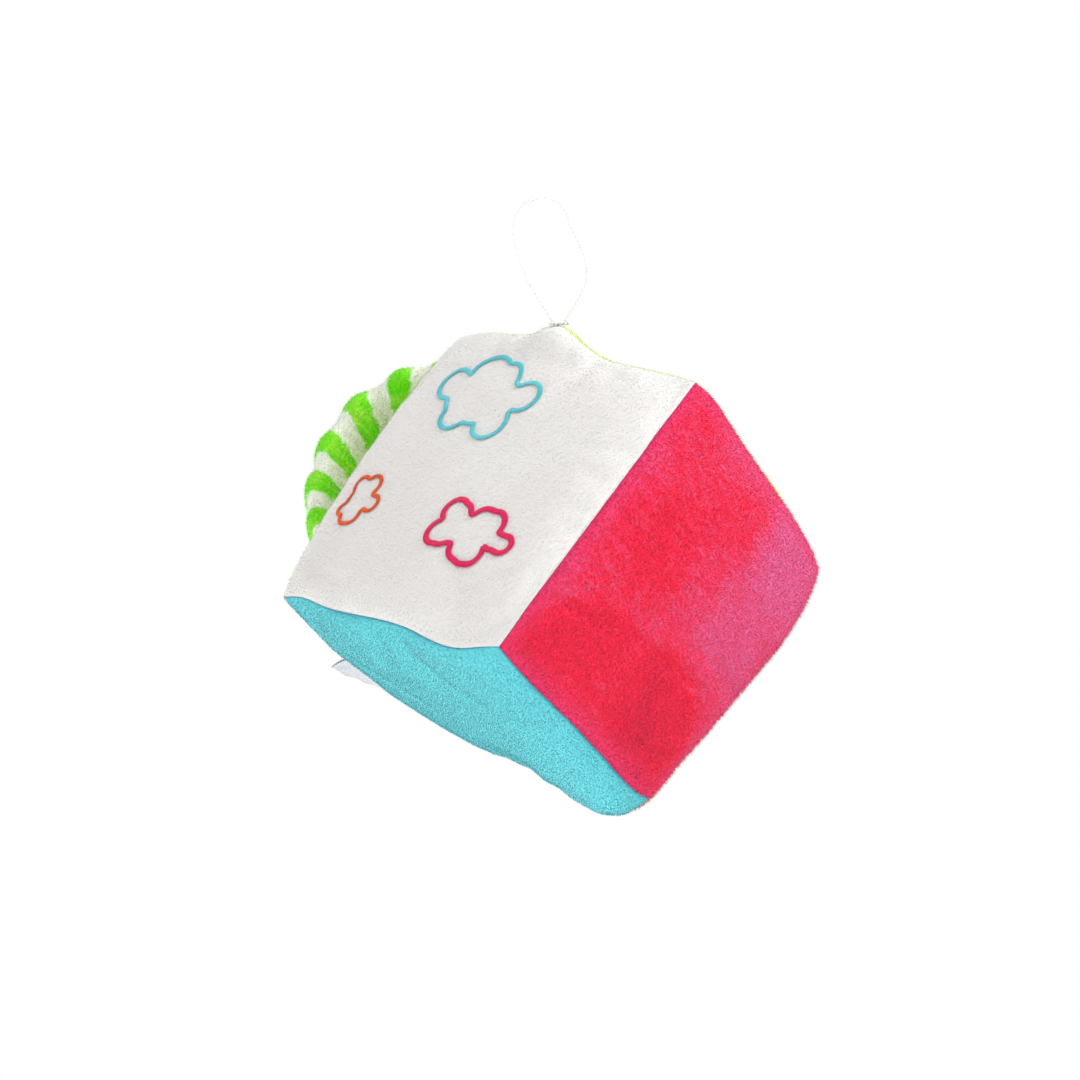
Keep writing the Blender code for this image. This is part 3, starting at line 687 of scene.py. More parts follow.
cover = {
    "cells": 36, "startInset": 0.0012, "frames": 20, "cap": 0.0032, "foldWidth": 24, "foldsKept": 0.6,
    "pileRoom": 0.0003, "crease": 0.55, "seamGroove": 0.0005, "seamGrooveWidth": 0.0012, "rimReach": 0.0050,
    "pucker": 0.00016, "puckerReach": 0.008, "puckerFade": 1.6, "puckerSpacing": 0.0065,
    "puckerDrift": 6.4, "driftScale": 60, "swellLeast": 0.6, "swellScale": 35,
    "lump": 0.0004, "lumpScale": 28, "lumpReach": 0.02,
    "foldEnd": 0.15, "bank": 0.45, "bankPlace": 1.9, "bankWidth": 0.9,
    "sheetThickness": 0.0009, "turnIn": 0.0035, "gap": 0.00005,
    "cloth": {
        "quality": 7, "mass": 0.15, "tension_stiffness": 25, "compression_stiffness": 25,
        "shear_stiffness": 10, "bending_stiffness": 0.05, "vertex_group_mass": "seams",
        "use_pressure": True, "uniform_pressure_force": 4.0, "shrink_min": -0.035,
    },
}


def onSeam(cube):
    # a seam runs wherever two sides of the cube meet
    return sum(abs(value) > 1 - tiny for value in cube) >= 2


def coverGrid():
    build = bmesh.new()
    bmesh.ops.create_cube(build, size=2)
    bmesh.ops.subdivide_edges(build, edges=build.edges, cuts=cover["cells"] - 1, use_grid_fill=True)
    build.verts.ensure_lookup_table()
    cubes = []
    for vertex in build.verts:
        cube = [max(-1.0, min(1.0, round(value * cover["cells"]) / cover["cells"])) for value in vertex.co]
        cubes.append(cube)
        vertex.co = toWorld @ skin(cube)
    sharpness = build.edges.layers.float.new("crease_edge")
    for edge in build.edges:
        if all(onSeam(cubes[vertex.index]) for vertex in edge.verts):
            edge[sharpness] = cover["crease"]
    for face in build.faces:
        middle = sum((Vector(cubes[vertex.index]) for vertex in face.verts), Vector()) / len(face.verts)
        axis = max(range(3), key=lambda value: abs(middle[value]))
        wanted = ("+" if middle[axis] > 0 else "-") + "XYZ"[axis]
        face.material_index = list(sides.values()).index(wanted)
        face.smooth = True
    bmesh.ops.recalc_face_normals(build, faces=build.faces)
    mesh = meshFrom("cover", build)
    store(mesh, "cubePlace", cubes)
    return mesh, cubes


def puffCover(piece, cubes):
    # the seams are held while the panels puff up, so that small folds form along them
    mesh = piece.data
    rest = readPoints(mesh)
    start = rest - readNormals(mesh) * cover["startInset"]
    seams = [onSeam(cube) for cube in cubes]
    start[seams] = rest[seams]
    writePoints(mesh, start)
    held = piece.vertex_groups.new(name="seams")
    held.add([index for index, value in enumerate(seams) if value], 1.0, "REPLACE")
    cloth = piece.modifiers.new("puff", "CLOTH")
    setAll(cloth.settings, **cover["cloth"])
    cloth.settings.effector_weights.gravity = 0
    cloth.collision_settings.use_collision = False
    scene = bpy.context.scene
    for clock in (scene, cloth.point_cache):
        setAll(clock, frame_start=1, frame_end=cover["frames"])
    for number in range(1, cover["frames"] + 1):
        scene.frame_set(number)
    shape = piece.evaluated_get(bpy.context.evaluated_depsgraph_get())
    moved = readPoints(shape.to_mesh())
    piece.modifiers.clear()
    scene.frame_set(1)
    step = moved - rest
    length = np.linalg.norm(step, axis=1, keepdims=True)
    capped = step * np.minimum(1.0, cover["cap"] / np.maximum(length, tiny))
    print("cover moved up to", round(float(length.max()) * 1000, 2), "mm, capped at", cover["cap"] * 1000)
    # the swelling as a whole is the solids' own form, so only the folds that it makes are kept
    broad = evenedOut(mesh, capped, cover["foldWidth"])
    broad[seams] = 0
    writePoints(mesh, rest + (capped - broad) * cover["foldsKept"])


def evenedOut(mesh, vectors, rounds):
    # the vectors averaged with their neighbours' again and again
    ends = np.zeros(len(mesh.edges) * 2, np.int32)
    mesh.edges.foreach_get("vertices", ends)
    first, second = ends.reshape(-1, 2).T
    count = np.zeros(len(vectors))
    np.add.at(count, first, 1)
    np.add.at(count, second, 1)
    result = vectors.copy()
    for _ in range(rounds):
        total = np.zeros_like(result)
        np.add.at(total, first, result[second])
        np.add.at(total, second, result[first])
        result = (result + total / count[:, None]) / 2
    return result


def seamDistance(cube):
    # from a point of the cube's face to its nearest seam, and how far along that seam it lies
    face = int(np.argmax(np.abs(cube)))
    across, along = (face + 1) % 3, (face + 2) % 3
    fromAcross = (1 - abs(cube[across])) * halfSizes[across]
    fromAlong = (1 - abs(cube[along])) * halfSizes[along]
    if fromAcross < fromAlong:
        return max(fromAcross, 0.0), cube[along] * halfSizes[along]
    return max(fromAlong, 0.0), cube[across] * halfSizes[across]


# Soft folds seen in the photo: two ends across and up a panel, how deep, and how wide; a low bank
# of cloth rises on both sides of each
folds = {
    "front": [
        ((0.62, -0.66), (0.97, -0.34), 0.00040, 0.0016), ((0.66, -0.42), (0.98, -0.16), 0.00030, 0.0020),
        ((0.66, 0.34), (0.98, 0.36), 0.00018, 0.0024), ((0.40, -0.30), (0.44, 0.18), 0.00018, 0.0040),
        ((-0.30, 0.97), (-0.22, 0.78), 0.00040, 0.0030), ((0.30, 0.98), (0.20, 0.80), 0.00030, 0.0034),
    ],
    "right": [
        ((-0.90, -0.58), (-0.05, -0.36), 0.00040, 0.0022), ((-0.05, -0.36), (0.62, -0.30), 0.00045, 0.0024),
        ((0.62, -0.30), (0.86, -0.56), 0.00045, 0.0026), ((-0.70, 0.24), (-0.20, 0.20), 0.00030, 0.0026),
        ((0.84, -0.98), (0.98, -0.70), 0.00035, 0.0020),
    ],
    "bottom": [
        ((-0.72, -0.30), (-0.30, 0.14), 0.00030, 0.0030), ((0.20, -0.62), (0.46, -0.10), 0.00030, 0.0030),
    ],
}


def sidesOf(cube):
    # each side that a point of the cube is on, with the axes across and up it
    for name, sign in sides.items():
        axis = "XYZ".index(sign[1])
        if abs(cube[axis] - float(sign[0] + "1")) < tiny:
            yield name, [other for other in range(3) if other != axis]


def foldDepth(cube):
    # how deep the folds of its panel are at a point of the cube
    for name, axes in sidesOf(cube):
        if name in folds:
            room = Vector([halfSizes[axis] for axis in axes])
            spot = Vector([cube[axis] for axis in axes]) * room
            depth = 0.0
            for start, end, deep, wide in folds[name]:
                start = Vector(start) * room
                way = Vector(end) * room - start
                inside = max(0.0, min(1.0, (spot - start).dot(way) / way.length_squared))
                away = (spot - start - way * inside).length / wide
                fade = math.sin(math.pi * (cover["foldEnd"] + (1 - 2 * cover["foldEnd"]) * inside))
                bank = cover["bank"] * math.exp(-((away - cover["bankPlace"]) / cover["bankWidth"]) ** 2)
                depth += deep * fade * (math.exp(-away ** 2) - bank)
            return depth
    return 0.0


# How the pile is brushed over a panel, with painted light laid in: how light in its middle, and how that
# grows along X, Y and Z. The growth paints the front lighter towards its top and right, and the right
# panel lighter towards its top and pinker towards its back edge, partly a painted sheen.
brushingAndPaintedLight = {
    "right": (0.38, (0, 0.20, 0.04)), "bottom": (0.30, (-0.10, 0.10, 0)), "front": (0.40, (0.10, 0, 0.20)),
    "top": (0.40, (0, 0, 0)), "left": (0.40, (0, 0, 0)), "back": (0.40, (0, 0, 0)),
}
patches = {"broad": 0.30, "broadScale": 34, "narrow": 0.12, "narrowScale": 130, "drawnOut": 0.5}
# Strokes that left the pile lying another way, which also paint shade low on the right panel and light at
# its top and back edge: middle and reach across and up, how much lighter, how soft
strokesAndPaintedLight = {
    "right": [
        ((0.00, -1.10), (0.95, 0.76), -0.28, 0.05), ((0.46, -0.52), (0.44, 0.36), -0.50, 0.50),
        ((1.20, 0.40), (1.00, 1.30), 0.26, 0.08), ((0.20, 1.15), (0.72, 0.34), 0.30, 0.30),
        ((1.00, 0.90), (0.50, 0.70), 0.20, 0.60), ((0.86, -0.96), (0.52, 0.46), -0.36, 0.60),
        ((-0.50, 0.10), (0.46, 0.24), -0.16, 0.40), ((-0.30, 0.62), (0.50, 0.26), -0.14, 0.50),
    ],
}


def brushedAndLitAt(cube, point):
    # below 0 where the pile lies away and looks deep, 1 where it stands up light; the growth and the
    # stroke table also lay painted light and shade into it
    for name, (first, second) in sidesOf(cube):
        middle, growth = brushingAndPaintedLight[name]
        share = middle + sum(value * rate for value, rate in zip(cube, growth))
        for place, reach, change, soft in strokesAndPaintedLight.get(name, []):
            across = abs(cube[first] - place[0]) / reach[0]
            up = abs(cube[second] - place[1]) / reach[1]
            away = (across ** 3 + up ** 3) ** (1 / 3)
            edge = max(0.0, min(1.0, (1 + soft - away) / (2 * soft)))
            share += change * edge * edge * (3 - 2 * edge)
        broad = waver(point, patches["broadScale"], (2, 8, 5))
        narrow = waver((point[0], point[1], point[2] * patches["drawnOut"]), patches["narrowScale"])
        return max(-1.0, min(1.0, share + patches["broad"] * broad + patches["narrow"] * narrow))
    return 0.0


def dressCover(piece):
    # the seam valleys, with short gathers that run off them
    mesh = piece.data
    cubes = readTriples(mesh.attributes["cubePlace"].data, "vector")
    points = readPoints(mesh)
    normals = readNormals(mesh)
    seamNear = np.zeros(len(points))
    brushed = np.zeros(len(points))
    for index, (cube, point) in enumerate(zip(cubes, points)):
        distance, along = seamDistance(cube)
        groove = cover["seamGroove"] * math.exp(-(distance / cover["seamGrooveWidth"]) ** 2)
        drift = waver(point, cover["driftScale"]) * cover["puckerDrift"]
        gather = math.sin(2 * math.pi * along / cover["puckerSpacing"] + drift)
        swell = cover["swellLeast"] + waver(point, cover["swellScale"], (7, 3, 1))
        reach = distance / cover["puckerReach"]
        fade = reach * math.exp(1 - reach * cover["puckerFade"])
        lumps = waver(point, cover["lumpScale"], (3, 9, 4)) * cover["lump"]
        lumps *= min(distance / cover["lumpReach"], 1)
        rise = cover["pucker"] * gather * swell * fade - groove + lumps - cover["pileRoom"] - foldDepth(cube)
        points[index] += normals[index] * rise
        # nearness to a seam places the painted seam sheen and shadow line; the brushed share also holds
        # painted light and shade
        seamNear[index] = math.exp(-(distance / cover["rimReach"]) ** 2)
        brushed[index] = brushedAndLitAt(cube, point)
    writePoints(mesh, points)
    store(mesh, "seamNear", seamNear)
    store(mesh, "brushed", brushed)


def makeCover():
    mesh, cubes = coverGrid()
    piece = meshObject("cover", mesh)
    for _ in sides:
        mesh.materials.append(None)
    puffCover(piece, cubes)
    setAll(piece.modifiers.new("smooth", "SUBSURF"), levels=1, render_levels=1)
    settle(piece)
    dressCover(piece)
    return piece


coverPiece = makeCover()
print("cover puffed up:", len(coverPiece.data.polygons), "faces")


def surfaceTree(mesh, index):
    # the outer face of one panel, for what is laid on it
    points = [Vector(point) for point in readPoints(mesh)]
    faces = [tuple(face.vertices) for face in mesh.polygons if face.material_index == index]
    return BVHTree.FromPolygons(points, faces)


frontTree = surfaceTree(coverPiece.data, list(sides).index("front"))


def onFront(across, up):
    # a place on the finished front panel, across and up from -1 to 1, with its normal
    spot = skin((across, -1.0, up))
    outside = toWorld @ (spot + Vector((0, -stitch["castFrom"], 0)))
    inwards = (toWorld.to_3x3() @ Vector((0, 1, 0))).normalized()
    hit, normal, _, _ = frontTree.ray_cast(outside, inwards)
    return hit, normal if normal.dot(inwards) < 0 else -normal


# The clouds: their middle, width and lobes as shares of the panel and of the cloud

clouds = {
    "aqua": {
        "middle": (-0.126, 0.253), "widthShare": 0.407, "line": 0.0017, "body": "aqua_cloud_embroidery",
        "lobes": ((-0.130, 0.170, 0.168), (0.030, 0.145, 0.155), (0.345, 0.070, 0.120),
                  (0.210, -0.180, 0.138), (-0.165, -0.165, 0.128), (-0.400, 0.075, 0.126),
                  (-0.190, 0.000, 0.175), (0.130, -0.020, 0.185), (0.000, -0.040, 0.185)),
    },
    "pink": {
        "middle": (0.171, -0.185), "widthShare": 0.307, "line": 0.0022, "body": "pink_cloud_embroidery",
        "lobes": ((-0.325, 0.165, 0.125), (-0.240, 0.130, 0.125), (0.055, 0.120, 0.135),
                  (0.165, 0.085, 0.165), (0.455, -0.062, 0.092), (0.350, -0.050, 0.092),
                  (0.190, -0.200, 0.115), (0.120, -0.180, 0.145), (0.030, -0.175, 0.125),
                  (-0.345, -0.075, 0.130), (-0.260, -0.090, 0.115), (-0.160, 0.000, 0.170),
                  (0.000, 0.000, 0.170), (0.150, -0.030, 0.140)),
    },
    "orange": {
        "middle": (-0.340, -0.155), "widthShare": 0.157, "line": 0.0015, "body": "orange_cloud_embroidery",
        "lobes": ((-0.190, 0.280, 0.190), (0.120, 0.330, 0.195), (0.400, -0.040, 0.168),
                  (0.070, -0.330, 0.187), (-0.060, -0.360, 0.178), (-0.300, -0.240, 0.128),
                  (-0.010, 0.000, 0.335)),
    },
}
stitch = {
    "spacing": 0.00034, "threadWidth": 0.00046, "threadHeight": 0.00042, "slant": math.radians(14),
    "lift": 0.00045, "rays": 720, "smoothing": 5, "segments": 8, "rings": 6, "castFrom": 0.012,
}


def cloudLine(sizes):
    # the outline in shares of the panel, rounded where two lobes meet
    width = sizes["widthShare"] * block["width"]
    outline = []
    for step in range(stitch["rays"]):
        angle = 2 * math.pi * step / stitch["rays"]
        ray = Vector((math.cos(angle), math.sin(angle)))
        reach = []
        for across, up, radius in sizes["lobes"]:
            middle = Vector((across, up))
            miss = middle.x * ray.y - middle.y * ray.x
            if abs(miss) < radius:
                reach.append(middle.dot(ray) + math.sqrt(radius ** 2 - miss ** 2))
        outline.append(ray * max(reach) * width)
    closed = np.array(outline + outline[:1])
    lengths = lengthsAlong(closed)
    count = int(lengths[-1] / stitch["spacing"])
    even = readAlong(closed, lengths, np.arange(count) * lengths[-1] / count)
    for _ in range(stitch["smoothing"]):
        even = (np.roll(even, 1, axis=0) + even * 2 + np.roll(even, -1, axis=0)) / 4
    across, up = sizes["middle"]
    return [(2 * across + x / halfSizes[0], 2 * up + z / halfSizes[2]) for x, z in even]


class Tree(Nodes):
    # a Geometry Nodes tree with named inputs

    def __init__(self, name, inputs):
        super().__init__(bpy.data.node_groups.new(name, "GeometryNodeTree"))
        self.tree.is_modifier = True
        self.names = {}
        for label, kind in {"Geometry": "Geometry", **inputs}.items():
            socket = self.tree.interface.new_socket(label, in_out="INPUT", socket_type="NodeSocket" + kind)
            self.names[label] = socket.identifier
        self.tree.interface.new_socket("Geometry", in_out="OUTPUT", socket_type="NodeSocketGeometry")
        self.start = self.tree.nodes.new("NodeGroupInput")
        self.end = self.tree.nodes.new("NodeGroupOutput")

    def named(self, name, kind="FLOAT_VECTOR"):
        node = self.add("GeometryNodeInputNamedAttribute", {"Name": name}, data_type=kind)
        return node.outputs["Attribute"]

    def marked(self, geometry, name, value, kind):
        return self.add("GeometryNodeStoreNamedAttribute", {
            "Geometry": geometry, "Name": name, "Value": value}, data_type=kind, domain="POINT")

    def laidOut(self, points, form, turn, scale=(1.0, 1.0, 1.0)):
        # the form on each point, made real, in the material of the tree's own input
        laid = self.add("GeometryNodeInstanceOnPoints", {
            "Points": points, "Instance": form, "Rotation": turn, "Scale": scale})
        real = self.add("GeometryNodeRealizeInstances", {"Geometry": laid})
        material = self.start.outputs["Material"]
        painted = self.add("GeometryNodeSetMaterial", {"Geometry": real, "Material": material})
        self.give(self.end.inputs["Geometry"], painted)
        return self

    def run(self, piece, values):
        change = piece.modifiers.new(self.tree.name, "NODES")
        change.node_group = self.tree
        for label, value in values.items():
            change[self.names[label]] = value
        settle(piece)


def stitchTree():
    # one plump thread on each point, laid across the line that the points follow
    tree = Tree("satinStitches", {
        "Stitch Length": "Float", "Thread Width": "Float", "Thread Height": "Float", "Material": "Material"})
    start = tree.start.outputs
    sphere = tree.add("GeometryNodeMeshUVSphere", {
        "Segments": stitch["segments"], "Rings": stitch["rings"], "Radius": 0.5})
    size = tree.add("ShaderNodeCombineXYZ", {
        "X": start["Stitch Length"], "Y": start["Thread Width"], "Z": start["Thread Height"]})
    shaped = tree.add("GeometryNodeTransform", {"Geometry": sphere, "Scale": size})
    rounded = tree.add("GeometryNodeSetShadeSmooth", {"Geometry": shaped, "Shade Smooth": True})
    turned = tree.add("FunctionNodeAlignRotationToVector", {"Vector": tree.named("across")}, axis="X")
    flat = tree.add("FunctionNodeAlignRotationToVector",
                    {"Rotation": turned, "Vector": tree.named("up")}, axis="Z", pivot_axis="X")
    return tree.laidOut(start["Geometry"], rounded, flat)


satinStitches = stitchTree()
keepOut = []   # where no pile stands: a place and how far round it


def pointMesh(name, places, values):
    mesh = bpy.data.meshes.new(name)
    mesh.from_pydata([tuple(place) for place in places], [], [])
    for label, numbers in values.items():
        store(mesh, label, numbers)
    return mesh


def sewStitches(name, places, across, ups, sizes, shade):
    # one stitch on each place, with its length, width and height
    piece = meshObject(name, pointMesh(name, places, {"across": across, "up": ups}))
    satinStitches.run(piece, {
        "Stitch Length": sizes[0], "Thread Width": sizes[1], "Thread Height": sizes[2], "Material": shade})
    finishMesh(piece.data)
    return piece


def makeCloud(name, sizes):
    places, normals, across = [], [], []
    spots = [onFront(*spot) for spot in cloudLine(sizes)]
    for index, (hit, normal) in enumerate(spots):
        ahead = (spots[(index + 1) % len(spots)][0] - spots[index - 1][0]).normalized()
        side = ahead.cross(normal).normalized()
        places.append(hit + normal * stitch["lift"])
        normals.append(normal)
        across.append((side * math.cos(stitch["slant"]) + ahead * math.sin(stitch["slant"])).normalized())
    shape = (sizes["line"] + stitch["threadWidth"] / 2, stitch["threadWidth"], stitch["threadHeight"])
    shade = threadShade(name + "Thread", threads[name])
    piece = sewStitches(name + "CloudStitches", places, across, normals, shape, shade)
    carry(piece, "block", name + "_thread", sizes["body"])
    keepOut.extend((hit, sizes["line"] / 2) for hit, _ in spots)
    print(name, "cloud:", len(places), "stitches")


for cloudName, cloudSizes in clouds.items():
    makeCloud(cloudName, cloudSizes)


# The sewn root of the cord: a bar of threads over both ends

def makeTack():
    along = Vector((math.cos(cord["turn"]), math.sin(cord["turn"]), 0))
    across = Vector((-math.sin(cord["turn"]), math.cos(cord["turn"]), 0))
    middle = pivot + Vector((0, 0, tack["gap"] + tack["height"] / 2))
    places, sideways = [], []
    for index in range(tack["threads"]):
        share = index / (tack["threads"] - 1) - 0.5
        slant = tack["slant"] if index % 2 else -tack["slant"]
        places.append(middle + along * share * (tack["length"] - tack["threadWidth"]))
        sideways.append((across + along * slant).normalized())
    threadWidth = tack["threadWidth"] * tack["threadSwell"]
    shape = (tack["width"], threadWidth, tack["height"] * tack["threadFlatness"])
    shade = threadShade("tackThread", threads["white"])
    piece = sewStitches("cordTack", places, sideways, [(0, 0, 1)] * len(places), shape, shade)
    carry(piece, "sewn_root", "white_cord", "cord_tack")
    for share in np.linspace(-0.5, 0.5, tack["bareSpots"]):
        keepOut.append((pivot + along * share * tack["length"], tack["width"] * tack["bareReach"]))


makeTack()
print("tack sewn")


# The care label: a folded tape, left bare

label = {
    "width": 0.0280, "drop": 0.0058, "start": 0.0008, "curl": 0.0019, "place": 0.15,
    "slope": math.radians(4), "across": 28, "down": 8, "fold": 0.0003, "thickness": 0.00014,
    "ripple": 0.12, "ripples": 19,
    "closed": 0.7, "closedPower": 6, "gape": 0.8, "gapes": 9, "bareSpots": 40, "bareReach": 0.0016,
}


def makeLabel():
    halfShare = label["width"] / block["depth"]
    near, middle, far = (skin((-1, label["place"] * 2 + side * halfShare, -1)) for side in (-1, 0, 1))
    along = (far - near).normalized()
    out = Vector((-math.cos(label["slope"]), 0, -math.sin(label["slope"])))
    out = (out - along * out.dot(along)).normalized()
    flat = out.cross(along)
    build = bmesh.new()
    weave = build.loops.layers.uv.new("weave")
    rows, flatPlaces = [], {}
    profile = [(step / label["down"], 1) for step in range(label["down"] + 1)]
    profile += [(share, -1) for share, _ in reversed(profile)]
    for row, (down, layer) in enumerate(profile):
        ring = []
        for step in range(label["across"] + 1):
            side = step / label["across"] - 0.5
            wave = (label["ripple"] * math.sin(side * label["ripples"]) - math.sin(side * math.pi)) * down
            closing = 1 - label["closed"] * down ** label["closedPower"]
            spread = label["fold"] * layer * closing * (1 + label["gape"] * math.sin(side * label["gapes"]))
            place = middle + along * side * label["width"] + out * (down * label["drop"] + label["start"])
            place += flat * (label["curl"] * (down ** 2 + wave) + spread)
            vertex = build.verts.new(toWorld @ place)
            flatPlaces[vertex] = (side * label["width"], row * label["drop"] / label["down"])
            ring.append(vertex)
        rows.append(ring)
    joinRings(build, rows, closed=False)
    for face in build.faces:
        for loop in face.loops:
            loop[weave].uv = flatPlaces[loop.vert]
    bmesh.ops.recalc_face_normals(build, faces=build.faces)
    piece = meshObject("careLabel", meshFrom("careLabel", build), plainShade("labelTape"))
    thicken(piece, label["thickness"], 0)
    carry(piece, "label", "label_tape", "care_label")
    for side in np.linspace(-0.5, 0.5, label["bareSpots"]):
        root = middle + along * side * label["width"] + out * label["start"]
        keepOut.append((toWorld @ root, label["bareReach"]))


makeLabel()
print("label folded")


# The pile: short tapered fibres that stand on a panel and lean with its nap

pile = {
    "sides": 3, "lean": 1.0, "scatter": 0.50, "seed": 4, "quickShare": 0.3,
    "shortest": 0.65, "longest": 1.2, "upright": 0.35,
}
panels = {
    "front": {"plush": "white", "density": 3.4e6, "length": 0.0006, "radius": 6e-5, "nap": (-0.2, 0, -1)},
    "right": {"plush": "magenta", "density": 4.6e6, "length": 0.0012, "radius": 9e-5, "nap": (0, 1, -0.15)},
    "bottom": {"plush": "turquoise", "density": 4.4e6, "length": 0.0007, "radius": 7e-5, "nap": (1, 0.2, 0),
               "scatter": 0.34},
    "top": {"plush": "lime", "density": 3.6e6, "length": 0.0009, "radius": 9e-5, "nap": (-1, 0.3, 0)},
    "left": {"plush": "lime", "density": 3.6e6, "length": 0.0011, "radius": 9e-5, "nap": (0, -0.2, -1)},
    "back": {"plush": "orange", "density": 3.6e6, "length": 0.0011, "radius": 9e-5, "nap": (0.3, 0, -1)},
}


def pileTree():
    tree = Tree("plushPile", {
        "Density": "Float", "Fibre Length": "Float", "Fibre Radius": "Float", "Nap": "Vector",
        "Lean": "Float", "Scatter": "Float", "Bare Spots": "Object", "Seed": "Int", "Material": "Material"})
    start = tree.start.outputs
    spots = tree.add("GeometryNodeDistributePointsOnFaces", {
        "Mesh": start["Geometry"], "Density": start["Density"], "Seed": start["Seed"]},
        distribute_method="RANDOM")
    normal = spots.outputs["Normal"]
    # none grows within the reach of its nearest bare spot
    bare = tree.add("GeometryNodeObjectInfo", {"Object": start["Bare Spots"]}).outputs["Geometry"]
    nearest = tree.add("GeometryNodeSampleNearest", {"Geometry": bare}, domain="POINT")
    here = tree.add("GeometryNodeInputPosition").outputs["Position"]
    found = {}
    for kind, value in (("FLOAT_VECTOR", here), ("FLOAT", tree.named("clearRadius", "FLOAT"))):
        sample = tree.add("GeometryNodeSampleIndex", {"Geometry": bare, "Value": value, "Index": nearest},
                          data_type=kind, domain="POINT")
        found[kind] = sample.outputs["Value"]
    away = tree.vector("DISTANCE", here, found["FLOAT_VECTOR"])
    inside = tree.add("FunctionNodeCompare", {"A": away, "B": found["FLOAT"]},
                      data_type="FLOAT", operation="LESS_THAN")
    kept = tree.add("GeometryNodeDeleteGeometry", {"Geometry": spots, "Selection": inside}, domain="POINT")
    marked = tree.marked(kept, "clothNormal", normal, "FLOAT_VECTOR")
    cone = tree.add("GeometryNodeMeshCone", {
        "Vertices": pile["sides"], "Radius Top": 0.0, "Radius Bottom": start["Fibre Radius"],
        "Depth": start["Fibre Length"]}, fill_type="NGON")
    height = tree.add("ShaderNodeSeparateXYZ", {"Vector": here}).outputs["Z"]
    tipped = tree.marked(cone, "tip", tree.calc("DIVIDE", height, start["Fibre Length"]), "FLOAT")
    smooth = tree.add("GeometryNodeSetShadeSmooth", {"Geometry": tipped, "Shade Smooth": True})
    scatter = tree.add("FunctionNodeRandomValue", {"Min": (-1.0, -1.0, -1.0), "Max": (1.0, 1.0, 1.0),
                                                   "Seed": start["Seed"]}, data_type="FLOAT_VECTOR")
    leaned = tree.vector("ADD", normal, tree.vector("SCALE", start["Nap"], Scale=start["Lean"]))
    strayed = tree.vector("SCALE", scatter.outputs["Value"], Scale=start["Scatter"])
    # a fibre never points into the cloth
    upright = tree.vector("SCALE", normal, Scale=pile["upright"])
    raised = tree.vector("ADD", tree.vector("ADD", leaned, strayed), upright)
    turned = tree.add("FunctionNodeAlignRotationToVector", {"Vector": raised}, axis="Z")
    grown = tree.add("FunctionNodeRandomValue", {
        2: pile["shortest"], 3: pile["longest"], "Seed": start["Seed"]}, data_type="FLOAT")
    return tree.laidOut(marked, smooth, turned, grown.outputs[1])


def growPile(name, surface, sizes, material, slot):
    piece = meshObject(name, surface.copy())
    nap = (toWorld.to_3x3() @ Vector(sizes["nap"])).normalized()
    plushPile.run(piece, {
        "Density": sizes["density"] * 1.0,
        "Fibre Length": sizes["length"], "Fibre Radius": sizes["radius"], "Nap": tuple(nap),
        "Lean": pile["lean"], "Scatter": sizes.get("scatter", pile["scatter"]), "Bare Spots": bareSpots,
        "Seed": pile["seed"], "Material": material})
    carry(piece, "block", slot)
    print(name, "grown:", len(piece.data.polygons), "faces")


def cutPanel(side):
    # one panel of the cover, drawn back a hair from its neighbours
    index = list(sides).index(side)
    build = bmesh.new()
    build.from_mesh(coverPiece.data)
    others = [face for face in build.faces if face.material_index != index]
    bmesh.ops.delete(build, geom=others, context="FACES")
    for vertex in build.verts:
        if vertex.is_boundary:
            inner = [edge.other_vert(vertex) for edge in vertex.link_edges]
            inner = [other for other in inner if not other.is_boundary]
            if inner:
                vertex.co += (inner[0].co - vertex.co).normalized() * cover["gap"]
    for face in build.faces:
        face.material_index = 0
    return meshFrom(side + "Surface", build)


def turnIn(mesh):
    # the panel's edge folds in behind the seam
    build = bmesh.new()
    build.from_mesh(mesh)
    edges = [edge for edge in build.edges if edge.is_boundary]
    grown = bmesh.ops.extrude_edge_only(build, edges=edges)["geom"]
    for vertex in [item for item in grown if isinstance(item, bmesh.types.BMVert)]:
        vertex.co += (blockCentre - vertex.co).normalized() * cover["turnIn"]
    for face in build.faces:
        face.smooth = True
    bmesh.ops.recalc_face_normals(build, faces=build.faces)
    return meshFrom(mesh.name + "TurnedIn", build)


def makePanel(side):
    plushName = panels[side]["plush"]
    backing, fibres = panelShades[plushName]
    surface = cutPanel(side)
    cloth = meshObject(side + "Panel", turnIn(surface), backing)
    thicken(cloth, cover["sheetThickness"])
    carry(cloth, "block", plushName + "_plush", side + "_panel")
    growPile(side + "Pile", surface, panels[side], fibres, plushName + "_plush")


barePlaces, bareReaches = zip(*keepOut)
bareSpots = meshObject("bareSpots", pointMesh("bareSpots", barePlaces, {"clearRadius": bareReaches}))
plushPile = pileTree()
panelShades = {name: (plushShade(name, False), plushShade(name, True)) for name in plushKinds}
for panelSide in sides:
    makePanel(panelSide)
bpy.data.objects.remove(coverPiece, do_unlink=True)


# The grab handle

handle = {
    "width": 0.0320, "thickness": 0.0130, "endThickness": 0.0046,
    "lowReach": 0.0410, "lowRise": 0.0170, "highReach": 0.0760, "highRise": -0.0100,
    "place": -0.17, "foot": 0.218, "taper": 0.16, "taperPower": 0.7, "edgePower": 0.75,
    "seatGap": 0.0001, "inset": 0.0009, "stations": 120, "sides": 56, "wall": 0.0012,
    "foldDepth": 0.0007, "foldSpacing": 0.0085, "bulge": 0.0022, "sewnReach": 0.08,
    "endSeat": 0.0003, "lumps": 0.0005, "lumpScale": 60, "seatRounds": 5,
    "pile": {"density": 3.6e6, "length": 0.0011, "radius": 0.0001, "nap": (0.0, 0.4, -1.0)},
}


